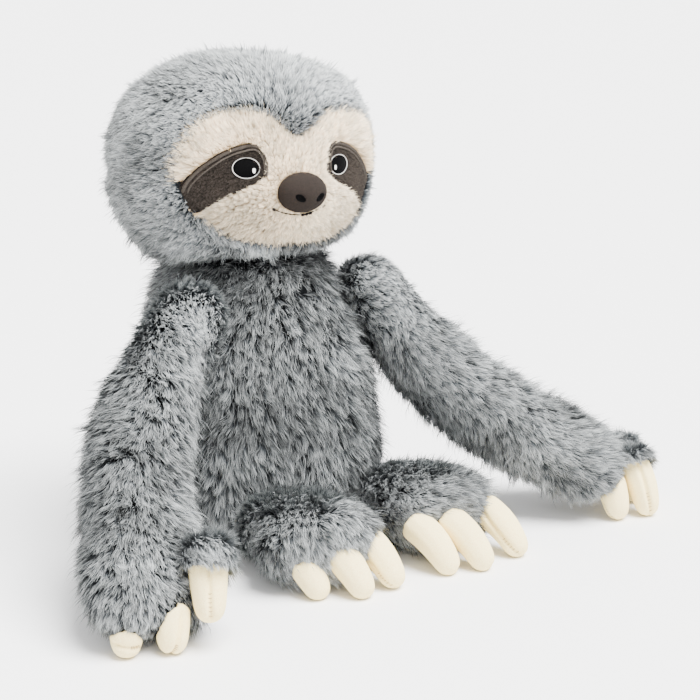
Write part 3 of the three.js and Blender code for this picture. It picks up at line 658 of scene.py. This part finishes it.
def limbFlow(name):
    v = flowValues
    centres = limbAxis(name)
    ways = unit(np.gradient(centres, axis=0))
    aside, forward, down = v["overJoint"]
    overJoint = np.array([aside * np.sign(jointPlaces[name][0]), forward, down])
    hang = np.array([0, 0, v["hang"]])

    def flow(points, normals):
        near = np.linalg.norm(points[:, None] - centres[None], axis=2).argmin(axis=1)
        far = ramp(fromJoint(points, name), v["jointRadius"], v["jointReach"])[:, None]
        return (ways[near] * v["along"] + hang) * far + overJoint * (1 - far)
    return flow


def torsoFlow(points, normals):
    v = flowValues
    return np.array([0, 0, -1.0]) + v["torsoOut"] * unit(points - np.array(v["torsoMiddle"]))


def lowShare(place):
    return ramp(-place[:, 2], *toneValues["jawDown"])


def headFlow(points, normals):
    v = flowValues
    place = toHead(points)
    away = place - faceCentre
    away[:, 1] *= v["faceDepth"]
    front = ramp(-place[:, 1], *v["front"])
    back = ramp(place[:, 1], *v["back"])
    way = unit(away) * (1 - v["backKeep"] * back[:, None])
    over = v["backOver"] * back + v["frontOver"] * front
    down = v["sag"] + v["backSag"] * back + v["jawSag"] * lowShare(place)
    way += np.stack([0 * front, over, down], axis=1)
    return way @ headAxes.T


# where no pile grows: round the joints, inside the neck, under the seat and behind the face
keepValues = {
    "ball": 0.027, "neck": 0.026, "neckHeight": 0.165, "seatHeight": 0.010, "seatFacing": -0.6,
    "front": -0.015, "chin": 0.155, "jaw": 0.20, "limbReach": 0.05, "clear": 0.002, "underChin": -0.003,
}
neckAxis = jointPlaces["head"][:2]
torsoTree = treeOf(skins["torso"]["points"], skins["torso"]["faces"])
headTree = treeOf(skins["head"]["points"], skins["head"]["faces"])


def clearOf(tree, points, near, gap=keepValues["clear"]):
    free = np.ones(len(points), bool)
    for i in np.nonzero(near)[0]:
        spot, facing, _, _ = tree.find_nearest(Vector(points[i]))
        free[i] = (Vector(points[i]) - spot).dot(facing) >= gap
    return free


def atNeck(points):
    return np.linalg.norm(points[:, :2] - neckAxis, axis=1) < keepValues["neck"]


def torsoKeep(points, normals):
    v = keepValues
    free = ~((points[:, 2] > v["neckHeight"]) & atNeck(points))
    free &= ~((points[:, 2] < v["seatHeight"]) & (normals[:, 2] < v["seatFacing"]))
    for child in jointPlaces:
        if child != "head":
            free &= fromJoint(points, child) > v["ball"]
    return free & clearOf(headTree, points, points[:, 2] > v["chin"], v["underChin"])


def headKeep(points, normals):
    place = toHead(points)
    front = place[:, 1] < keepValues["front"]
    covered = np.zeros(len(points), bool)
    covered[front] = faceHits(place[front, 0], place[front, 2])
    free = ~(atNeck(points) & (normals[:, 2] < 0)) & ~covered
    return free & clearOf(torsoTree, points, points[:, 2] < keepValues["jaw"])


def limbKeep(name):
    def keep(points, normals):
        return clearOf(torsoTree, points, fromJoint(points, name) < keepValues["limbReach"])
    return keep


def fullLength(points, normals):
    return np.ones(len(points))


# the head's pile is short beside the face and long under the jaw
headLengthValues = {"rim": 0.5, "rimGap": 0.003, "rimReach": 0.016, "jaw": 0.9, "front": -0.01}


def headLength(points, normals):
    v = headLengthValues
    place = toHead(points)
    front = place[:, 1] < v["front"]
    gap = np.full(len(points), 1.0)
    gap[front] = gapTo(faceTree, points[front])
    rim = v["rim"] + (1 - v["rim"]) * ramp(gap, v["rimGap"], v["rimReach"])
    return rim * (1 + v["jaw"] * lowShare(place))


def growAll():
    for name, skin in skins.items():
        if name == "torso":
            flow, keep, length = torsoFlow, torsoKeep, fullLength
        elif name == "head":
            flow, keep, length = headFlow, headKeep, headLength
        else:
            flow, keep, length = limbFlow(name), limbKeep(name), limbLength(name)
        own = furValues[name]
        growFur(f"{skin['name']}Fur", skin, dict(sharedFur, **own), flow, length, keep)
        under = dict(
            sharedUnder, seed=own["seed"] + 100, count=own["count"] // 2, guides=own["guides"], pieces=1,
            tone=own["tone"] - 0.05, paintedLightAt=own.get("paintedLightAt", sharedFur["paintedLightAt"]))
        growFur(f"{skin['name']}Undercoat", skin, under, flow, length, keep)


growAll()


# Face, nose and embroidery

def smoothNode(name, pieceName, body, material, slot, voxel, relax, grow=0.0, shape=None):
    points, faces = remeshed(*nodeArrays(name), voxel)
    points = relaxed(points, faces, relax)
    points = points + vertexNormals(points, faces) * grow
    if shape:
        points = shape(points, vertexNormals(points, faces))
    normals = vertexNormals(points, faces)
    piece = makePiece(pieceName, points, noQuads, faces)
    dress(piece, material, body, slot, name)
    return {"points": points, "faces": faces, "normals": normals, "body": body, "name": pieceName}


chinValues = {"low": -0.060, "high": -0.030, "width": 0.0016, "depth": 0.0018, "below": 0.02}


def chinCrease(points, normals):
    v = chinValues
    place = toHead(points)
    across = np.exp(-(place[:, 0] / v["width"]) ** 2)
    share = ramp(-place[:, 2], -v["high"], v["high"] - v["low"]) * (place[:, 2] > v["low"] - v["below"])
    return points - normals * (v["depth"] * across * np.sqrt(share))[:, None]


panelSkin = smoothNode(
    "face_panel", "facePanel", "head", faceCloth, "face_plush", 0.0012, 10, shape=chinCrease)
patchSkins = [
    smoothNode(f"{side}_eye_patch", f"{side}EyePatch", "head", patchCloth, "patch_velour", 0.0009, 8, 0.0003)
    for side in ("right", "left")]

panelPileValues = {
    "seed": 71, "count": 190000, "guides": 7000, "pieces": 2, "length": 0.0048, "lean": (34, 72), "steps": 2,
    "clump": 0.5, "frizz": 0.0002, "strays": 0.03, "halfWidth": 0.00018, "swirl": 0.28, "swirlSize": 0.020,
    "tuftTone": 0.14, "parting": 0.20, "mottle": 0.14, "mottleSize": 0.016, "tone": 0.04, "shortTone": 0.1,
}
patchPileValues = dict(
    panelPileValues, paintedLightAt=sharedFur["paintedLightAt"], count=30000, guides=2600, pieces=1, length=0.0021,
    halfWidth=0.00014)
# painted light and shade on the face pile: brow lighter where the light falls from above, lower cheeks darker
# where shade falls, less so at the muzzle
panelLightValues = {
    "brow": 0.10, "browUp": (0, 0.02), "cheek": -0.34, "cheekDown": (0.006, 0.016), "muzzleShare": 0.45,
    "muzzleAside": (0, 0.03),
}


# painted light: lighter brow and shaded lower cheeks, added to the face pile's tone
def facePaintedLight(points):
    v = panelLightValues
    place = toHead(points)
    sideways = v["muzzleShare"] + (1 - v["muzzleShare"]) * ramp(np.abs(place[:, 0]), *v["muzzleAside"])
    low = ramp(-place[:, 2], *v["cheekDown"]) * sideways
    return v["brow"] * ramp(place[:, 2], *v["browUp"]) + v["cheek"] * low


panelPileValues["paintedLightAt"] = facePaintedLight
hoodTree = treeOf(*nodeArrays("head_hood"))
patchTree = treeOf(*nodeArrays("right_eye_patch", "left_eye_patch"))


def inCollar(points):
    low = toHead(points)[:, 2] < collarValues["top"]
    inside = np.zeros(len(points), bool)
    inside[low] = gapTo(hoodTree, points[low]) < collarValues["width"]
    return inside


def underChin(points, normals):
    return np.broadcast_to(np.array([0, -0.45, -1.0]), points.shape) + 0.0


def outFromNose(points, normals):
    away = toHead(points) - noseMiddle
    away[:, 1] = 0
    return (unit(away) + np.array([0, 0, 0.05])) @ headAxes.T


def towardTemple(points, normals):
    place = toHead(points)
    way = np.stack([np.sign(place[:, 0]), 0 * place[:, 0], np.full(len(place), -0.55)], axis=1)
    return way @ headAxes.T


def clearOfEyes(points):
    v = eyeValues
    place = toHead(points)
    across = (np.abs(place[:, 0] - v["aside"]) - v["across"]) / (v["halfWidth"] + v["pileGap"])
    return across ** 2 + ((place[:, 2] - v["up"]) / (v["halfHeight"] + v["pileGap"])) ** 2 > 1


panelShapeValues = {
    "facing": 0.15, "patchGap": 0.0025, "outward": 0.75, "nose": (0.0165, 0.0115), "noseShort": 0.45,
    "noseRing": (0.018, 0.0125), "rim": (0.0735, 0.0415), "rimDrop": 0.0065, "rimLong": 0.55, "rimFrom": 0.72,
}


def patchKeep(points, normals):
    return ((normals @ headAxes)[:, 1] < panelShapeValues["facing"]) & clearOfEyes(points)


def panelKeep(points, normals):
    v = panelShapeValues
    place = toHead(points)
    wide, high = v["nose"]
    nose = (place[:, 0] / wide) ** 2 + ((place[:, 2] - noseMiddle[2]) / high) ** 2 < 1
    ways = normals @ headAxes
    outward = (ways * unit(place * np.array([1, 1, 0]))).sum(axis=1)
    # near a patch, the pile keeps off the side walls of the hole that it lies in
    facing = (gapTo(patchTree, points) > v["patchGap"]) | (outward > v["outward"])
    facing &= ways[:, 1] < v["facing"]
    return facing & ~nose & clearOfEyes(points) & ~inCollar(points)


def faceLength(points, normals):
    v = panelShapeValues
    place = toHead(points)
    wide, high = v["rim"]
    far = np.hypot(place[:, 0] / wide, (place[:, 2] + v["rimDrop"]) / high)
    wide, high = v["noseRing"]
    near = np.hypot(place[:, 0] / wide, (place[:, 2] - noseMiddle[2]) / high)
    short = v["noseShort"] + (1 - v["noseShort"]) * ramp(near, 1, 0.9)
    return (1 + v["rimLong"] * ramp(far, v["rimFrom"], 0.2)) * short


eyeValues = {
    "across": 0.035, "aside": -0.0013, "up": 0.0022, "halfWidth": 0.0083, "halfHeight": 0.0060,
    "pileGap": 0.0002, "pitch": 0.00040, "thread": 0.00030, "lift": 0.0004, "rise": 0.0012,
    "rim": 0.0002, "rimThread": 0.00022, "rimLift": 0.0007, "rimRise": 0.0004, "spokes": 84,
    "inside": 0.0042, "glintWidth": 0.0011, "glintHeight": 0.0015, "glintDrop": 0.0014,
    "glintThread": 0.00026, "glintPitch": 0.0004, "glintLift": 0.0018, "reach": 0.011,
}

collarValues = dict(
    sharedFur, seed=91, count=60000, guides=2600, pieces=1, top=-0.026, width=0.0056, length=0.0095,
    lean=(28, 62), tone=0.12)

growFur("collarFur", panelSkin, collarValues, underChin, fullLength, lambda p, n: inCollar(p))
growFur("facePile", panelSkin, panelPileValues, outFromNose, faceLength, panelKeep, facePile, "face_plush")
for skin, seed in zip(patchSkins, (73, 79)):
    growFur(f"{skin['name']}Pile", skin, dict(patchPileValues, seed=seed), towardTemple, fullLength,
            patchKeep, patchPile, "patch_velour")

nose = smoothNode("nose", "nose", "head", noseCloth, "nose_velour", 0.0008, 6)

allFace = [panelSkin] + patchSkins
offsets = np.cumsum([0] + [len(skin["points"]) for skin in allFace])
smoothTree = treeOf(
    np.concatenate([skin["points"] for skin in allFace]),
    np.concatenate([skin["faces"] + start for skin, start in zip(allFace, offsets)]))


fitValues = {"grid": 25, "rounds": 4, "miss": 0.0006}


# a smooth surface fitted to the face round one place, for the embroidery to lie on
def faceFit(acrossMiddle, upMiddle, reach, degree):
    grid = np.linspace(-reach, reach, fitValues["grid"])
    across, up = [g.ravel() for g in np.meshgrid(grid, grid)]
    keep = across ** 2 + up ** 2 < reach ** 2
    across, up = across[keep], up[keep]
    starts = inFront(across + acrossMiddle, up + upMiddle)
    hits = [smoothTree.ray_cast(Vector(p), faceWay)[0] for p in starts]
    depth = np.array([toHead(np.array(hit))[1] if hit else np.nan for hit in hits])
    powers = [(i, j) for i in range(degree + 1) for j in range(degree + 1 - i)]

    def terms(a, b):
        return np.stack([(a / reach) ** i * (b / reach) ** j for i, j in powers], axis=-1)

    good = np.isfinite(depth)
    for _ in range(fitValues["rounds"]):
        factors = np.linalg.lstsq(terms(across[good], up[good]), depth[good], rcond=None)[0]
        miss = depth - terms(across, up) @ factors
        good = np.isfinite(depth) & (np.abs(np.nan_to_num(miss, nan=1)) < fitValues["miss"])

    def place(a, b, lift):
        here = terms(a - acrossMiddle, b - upMiddle) @ factors
        return fromHead(np.stack([a, here - lift, b], axis=-1))
    return place


threadValues = {"sides": 6, "endShare": 0.45}


def threadPiece(name, lines, radius, material, slot, replaced):
    sides = threadValues["sides"]
    points, quads, caps = [], [], []
    start = 0
    for line, radius in zip(lines, np.broadcast_to(radius, len(lines))):
        count = len(line)
        along = unit(np.gradient(line, axis=0))
        side = unit(np.cross(along, faceWay))
        over = np.cross(side, along)
        taper = np.full(count, radius)
        taper[[0, -1]] *= threadValues["endShare"]
        angle = np.arange(sides) * 2 * math.pi / sides
        ring = side[:, None] * np.cos(angle)[None, :, None] + over[:, None] * np.sin(angle)[None, :, None]
        points.append((line[:, None] + ring * taper[:, None, None]).reshape(-1, 3))
        index = np.arange(count * sides).reshape(count, sides) + start
        after = np.roll(index, -1, axis=1)
        quads.append(np.stack([index[:-1], after[:-1], after[1:], index[1:]], axis=-1).reshape(-1, 4))
        for edge, way in ((index[0], -1), (index[-1], 1)):
            fan = np.stack([np.full(sides - 2, edge[0]), edge[1:-1], edge[2:]], axis=1)
            caps.append(fan[:, ::way])
        start += count * sides
    piece = makePiece(name, np.concatenate(points), np.concatenate(quads), np.concatenate(caps))
    return dress(piece, material, "head", slot, *replaced)


def makeEye(side, sign):
    v = eyeValues
    middle = sign * v["across"] + v["aside"]
    place = faceFit(middle, v["up"], v["reach"], 2)
    black = []
    for up in np.arange(-v["halfHeight"] + v["pitch"] / 2, v["halfHeight"], v["pitch"]):
        reach = v["halfWidth"] * math.sqrt(max(1 - (up / v["halfHeight"]) ** 2, 0.01))
        a = np.linspace(-reach, reach, 11)
        bulge = v["rise"] * (1 - (a / v["halfWidth"]) ** 2 - (up / v["halfHeight"]) ** 2).clip(0, 1)
        black.append(place(a + middle, np.full(11, up + v["up"]), v["lift"] + bulge))
    threadPiece(f"{side}Eye", black, v["thread"], blackThread, "black_thread", [f"{side}_eye"])
    rim = []
    for angle in np.linspace(0, 2 * math.pi, v["spokes"], endpoint=False):
        share = np.linspace(0, 1, 4)
        a = (v["halfWidth"] + v["rim"] * share) * math.cos(angle)
        b = (v["halfHeight"] + v["rim"] * share) * math.sin(angle)
        rim.append(place(a + middle, b + v["up"], v["rimLift"] + v["rimRise"] * np.sin(share * math.pi)))
    threadPiece(f"{side}EyeRim", rim, v["rimThread"], whiteThread, "white_thread", [f"{side}_eye_rim"])
    glint = []
    for up in np.arange(-v["glintHeight"] + v["glintPitch"] / 2, v["glintHeight"], v["glintPitch"]):
        reach = v["glintWidth"] * math.sqrt(1 - (up / v["glintHeight"]) ** 2)
        a = np.linspace(-reach, reach, 6) + middle - sign * v["inside"]
        glint.append(place(a, np.full(6, up + v["up"] - v["glintDrop"]), v["glintLift"]))
    threadPiece(
        f"{side}EyeGlint", glint, v["glintThread"], whiteThread, "white_thread", [f"{side}_eye_glint"])


makeEye("right", -1)
makeEye("left", 1)

noseTree = treeOf(nose["points"], nose["faces"])


def onNose(across, up, lift):
    start = fromHead(np.array([across, rayStart, up]))
    hit = noseTree.ray_cast(Vector(start), faceWay)[0]
    spot = toHead(np.array(hit if hit else start))
    spot[1] -= lift
    return fromHead(spot)


nostrilValues = {
    "spread": 0.0075, "drop": 0.0022, "halfWidth": 0.0038, "halfHeight": 0.0019, "tilt": 28,
    "rows": 9, "rowShare": 0.9, "thread": 0.00030, "lift": 0.0002,
}


def makeNostril(side, sign):
    v = nostrilValues
    tilt = math.radians(v["tilt"]) * sign
    lines = []
    for step in np.linspace(-v["rowShare"], v["rowShare"], v["rows"]):
        reach = v["halfWidth"] * math.sqrt(1 - step ** 2)
        a, b = np.linspace(-reach, reach, 8), step * v["halfHeight"]
        across = a * math.cos(tilt) - b * math.sin(tilt) + sign * v["spread"]
        up = a * math.sin(tilt) + b * math.cos(tilt) + noseMiddle[2] - v["drop"]
        lines.append(np.array([onNose(x, z, v["lift"]) for x, z in zip(across, up)]))
    threadPiece(f"{side}Nostril", lines, v["thread"], blackThread, "black_thread", [f"{side}_nostril"])


makeNostril("right", -1)
makeNostril("left", 1)

mouthValues = {
    "halfWidth": 0.0205, "drop": 0.0220, "dip": 0.0048, "dark": (0.0, 0.45), "stitches": 14,
    "thick": 0.0009, "thin": 0.00035, "high": 0.0024, "low": 0.0012, "fit": (0, -0.028, 0.022, 4),
}


def makeMouth():
    v = mouthValues
    place = faceFit(*v["fit"])
    share = np.linspace(-1, 1, v["stitches"] + 1)
    lines, thick = [], []
    for low, high in zip(share, share[1:]):
        s = np.linspace(low, high, 5)
        middle = (low + high) / 2
        dark = v["dark"][0] < middle < v["dark"][1]
        up = -v["drop"] - v["dip"] * (1 - s ** 2)
        lines.append(place(s * v["halfWidth"], up, v["high"] if dark else v["low"]))
        thick.append(v["thick"] if dark or abs(middle) > 0.9 else v["thin"])
    threadPiece("mouthStitch", lines, thick, mouthThread, "mouth_thread", ["mouth_stitch"])


makeMouth()


# Turned edges of the patches and of the cheek below them

edgeValues = {
    "start": 0.004, "reach": 0.062, "step": 0.0004, "top": (-24, 205), "low": (212, 322), "count": 90,
    "ridges": (-0.0002, 0.0020), "ridgeRadii": [0.0013, 0.0006], "ridgeLift": 0.0014,
    "fold": -0.0004, "foldRadius": 0.0013, "foldLift": 0.0012,
}


def patchEdge(side, sign, low, high, inside, lift):
    v = edgeValues
    tree = treeOf(*nodeArrays(f"{side}_eye_patch"))
    middle = np.array([sign * eyeValues["across"], eyeValues["up"]])
    reaches = []
    angles = np.radians(np.linspace(low, high, v["count"]))
    ways = np.stack([sign * np.cos(angles), np.sin(angles)], axis=1)
    for way in ways:
        reach = v["start"]
        while reach < v["reach"]:
            spot = middle + way * (reach + v["step"])
            start = fromHead(np.array([spot[0], rayStart, spot[1]]))
            if tree.ray_cast(Vector(start), faceWay)[0] is None:
                break
            reach += v["step"]
        reaches.append(reach)
    rim = middle + ways * np.array(reaches)[:, None]
    for _ in range(6):
        rim[1:-1] = (rim[:-2] + rim[1:-1] * 2 + rim[2:]) / 4
    along = unit(np.gradient(rim, axis=0))
    outward = np.stack([along[:, 1], -along[:, 0]], axis=1)
    outward *= np.sign((outward * (rim - middle)).sum(axis=1))[:, None]
    rim = rim - outward * inside
    starts = inFront(rim[:, 0], rim[:, 1])
    spots = [smoothTree.ray_cast(Vector(p), faceWay)[0] for p in starts]
    line = toHead(np.array([spot for spot in spots if spot is not None]))
    for _ in range(4):
        line[1:-1] = (line[:-2] + line[1:-1] * 2 + line[2:]) / 4
    line[:, 1] -= lift
    return fromHead(line)


def makeEdges(side, sign):
    v = edgeValues
    ridges = [patchEdge(side, sign, *v["top"], inside, v["ridgeLift"]) for inside in v["ridges"]]
    threadPiece(f"{side}PatchEdge", ridges, v["ridgeRadii"], seamCloth, "patch_velour", [])
    fold = patchEdge(side, sign, *v["low"], v["fold"], v["foldLift"])
    threadPiece(f"{side}CheekFold", [fold], v["foldRadius"], faceCloth, "face_plush", [])


makeEdges("right", -1)
makeEdges("left", 1)
print("face made")


# Claws

clawValues = {
    "voxel": 0.0009, "relax": 7, "puff": 0.0009, "fill": 0.9, "groove": 0.0021, "grooveWidth": 0.0014,
    "grooveFade": 0.004, "floor": 0.0003, "stitches": 6, "stitchSpan": (0.72, 0.95), "stitchHalf": 0.0010,
    "thread": 0.00022, "threadLift": 0.0001, "above": 0.03, "sleeve": 0.0007, "sleeveShort": 0.02,
}
# the share of the claw that the cuff covers, and the cuff's pile length
cuffs = {
    "right_hand_claw_3": (0.36, 0.0105), "left_hand_claw_2": (0.22, 0.009), "left_hand_claw_3": (0.25, 0.009)}
cuffValues = dict(
    sharedFur, count=14000, guides=600, pieces=1, lean=(28, 76), steps=2, tone=0.20, outward=0.8)


def clawWays(name, points, body):
    middle = points.mean(axis=0)
    along = np.linalg.svd(points - middle, full_matrices=False)[2][0]
    cover = nodeArrays(f"{body}_cover")[0].mean(axis=0)
    if along @ (middle - cover) < 0:
        along = -along
    reach = (points - middle) @ along
    share = (reach - reach.min()) / (reach.max() - reach.min())
    ends = (points[share < 0.15].mean(axis=0) + points[share > 0.85].mean(axis=0)) / 2
    bulge = points[(share > 0.4) & (share < 0.6)].mean(axis=0) - ends
    bulge = unit(bulge - along * (bulge @ along))
    return middle, along, bulge, np.cross(along, bulge), share


def makeClaw(name, body):
    v = clawValues
    camel = camelName(name)

    def seamed(points, normals):
        middle, along, bulge, across, share = clawWays(name, points, body)
        off = (points - middle) @ across
        outer = np.clip(((points - middle) @ bulge) / v["grooveFade"] + 0.5, 0, 1)
        depth = v["groove"] * np.exp(-(off / v["grooveWidth"]) ** 2) * outer * np.clip(share * 4, 0.3, 1)
        pressed = points - normals * depth[:, None]
        pressed[:, 2] = np.maximum(pressed[:, 2], v["floor"])
        return pressed

    claw = smoothNode(
        name, camel, body, clawCloth, "claw_velour", v["voxel"], v["relax"], v["puff"], seamed)
    points = claw["points"]
    middle, along, bulge, across, share = clawWays(name, points, body)
    tree = treeOf(points, claw["faces"])
    lines = []
    reach = ((points - middle) @ along).max()
    for place in np.linspace(*v["stitchSpan"], v["stitches"]):
        level = middle + along * reach * (place * 2 - 1)
        spots = []
        for side in np.linspace(-1, 1, 5) * v["stitchHalf"]:
            start = level + across * side + bulge * v["above"]
            hit = tree.ray_cast(Vector(start), Vector(-bulge))[0]
            spots.append(np.array(hit) + bulge * v["threadLift"] if hit else None)
        if all(spot is not None for spot in spots):
            lines.append(np.array(spots))
    stitches = threadPiece(f"{camel}Stitches", lines, v["thread"], seamThread, "claw_velour", [])
    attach(stitches, body)
    if name in cuffs:
        limit, length = cuffs[name]
        rooted = (share < limit - v["sleeveShort"])[claw["faces"]].all(axis=1)
        outside = points + claw["normals"] * v["sleeve"]
        sleeve = makePiece(f"{camel}Sleeve", outside, noQuads, claw["faces"][rooted])
        dress(sleeve, sleeveCloth, body, "fur")

        def onRoot(spots, normals):
            return ((spots - middle) @ along) / reach / 2 + 0.5 < limit

        def overRoot(spots, normals):
            return np.broadcast_to(along + cuffValues["outward"] * bulge, spots.shape) + 0.0

        values = dict(cuffValues, length=length, seed=500 + clawNames.index(name))
        growFur(f"{camel}Cuff", claw, values, overRoot, fullLength, onRoot, cuffPile)


for side in ("right", "left"):
    for limb, end in (("arm", "hand"), ("leg", "foot")):
        for i in (1, 2, 3):
            makeClaw(f"{side}_{end}_claw_{i}", f"{side}_{limb}")
print("claws made")


# Pieces sealed inside, pressed in where a skin comes near them

stuffingValues = {"voxel": 0.005, "relax": 2, "gap": 0.0015, "reach": 0.012, "fill": 0.7}


def makeStuffing(name, material, slot, skin):
    v = stuffingValues
    points, faces = remeshed(*nodeArrays(name), v["voxel"])
    points = relaxed(points, faces, v["relax"])
    tree = treeOf(skin["points"], skin["faces"])
    for i, point in enumerate(points):
        spot, facing, _, gap = tree.find_nearest(Vector(point))
        depth = (spot - Vector(point)).dot(facing)
        if depth < v["gap"] and gap < v["reach"]:
            points[i] = spot - facing * v["gap"]
    camel = camelName(name)
    piece = makePiece(camel, points, noQuads, faces)
    dress(piece, material, skin["body"], slot, name)


for key, skin in skins.items():
    makeStuffing(f"{key}_filling", stuffingCloth, "stuffing", skin)
makeStuffing("seat_pellet_bag", pelletCloth, "pellets", skins["torso"])


# Floor, light and camera

stageValues = {"size": 15, "albedo": 0.92, "world": 1.35, "aim": (0, 0, 0.15)}
lightValues = {
    "key": ("SUN", (0.40, -0.60, 1.9), 15.5, math.radians(42)),
    "fill": ("AREA", (-0.9, -1.5, 0.9), 12, 1.6),
}
cameraValues = {
    "lens": 84.55, "sensor": 36, "place": (-0.602255, -0.826110, 0.375), "down": 14.238, "turn": 38.985}


def makeStage():
    size, albedo = stageValues["size"], stageValues["albedo"]
    corners = np.array([[-size, -size, 0], [size, -size, 0], [size, size, 0], [-size, size, 0]], float)
    floor = makePiece("floor", corners, np.array([[0, 1, 2, 3]]), noTriangles)
    material, tree, shader = newMaterial("studio floor", 0.6)
    shader.inputs["Base Color"].default_value = (albedo, albedo, albedo, 1)
    floor.data.materials.append(material)


def addLight(name, kind, place, power, spread):
    light = bpy.data.lights.new(name, kind)
    light.energy = power
    if kind == "SUN":
        light.angle = spread
    else:
        light.size = spread
    lamp = bpy.data.objects.new(name, light)
    lamp.location = place
    lamp.rotation_euler = (Vector(stageValues["aim"]) - Vector(place)).to_track_quat("-Z", "Y").to_euler()
    bpy.context.scene.collection.objects.link(lamp)


makeStage()
for name, values in lightValues.items():
    addLight(name, *values)

world = bpy.data.worlds.new("studio")
world.use_nodes = True
world.node_tree.nodes["Background"].inputs["Color"].default_value = (1, 1, 1, 1)
world.node_tree.nodes["Background"].inputs["Strength"].default_value = stageValues["world"]
bpy.context.scene.world = world

camera = bpy.data.objects.new("camera", bpy.data.cameras.new("camera"))
camera.data.lens = cameraValues["lens"]
camera.data.sensor_width = cameraValues["sensor"]
camera.location = cameraValues["place"]
camera.rotation_euler = (math.radians(90 - cameraValues["down"]), 0, math.radians(-cameraValues["turn"]))
bpy.context.scene.collection.objects.link(camera)
bpy.context.scene.camera = camera
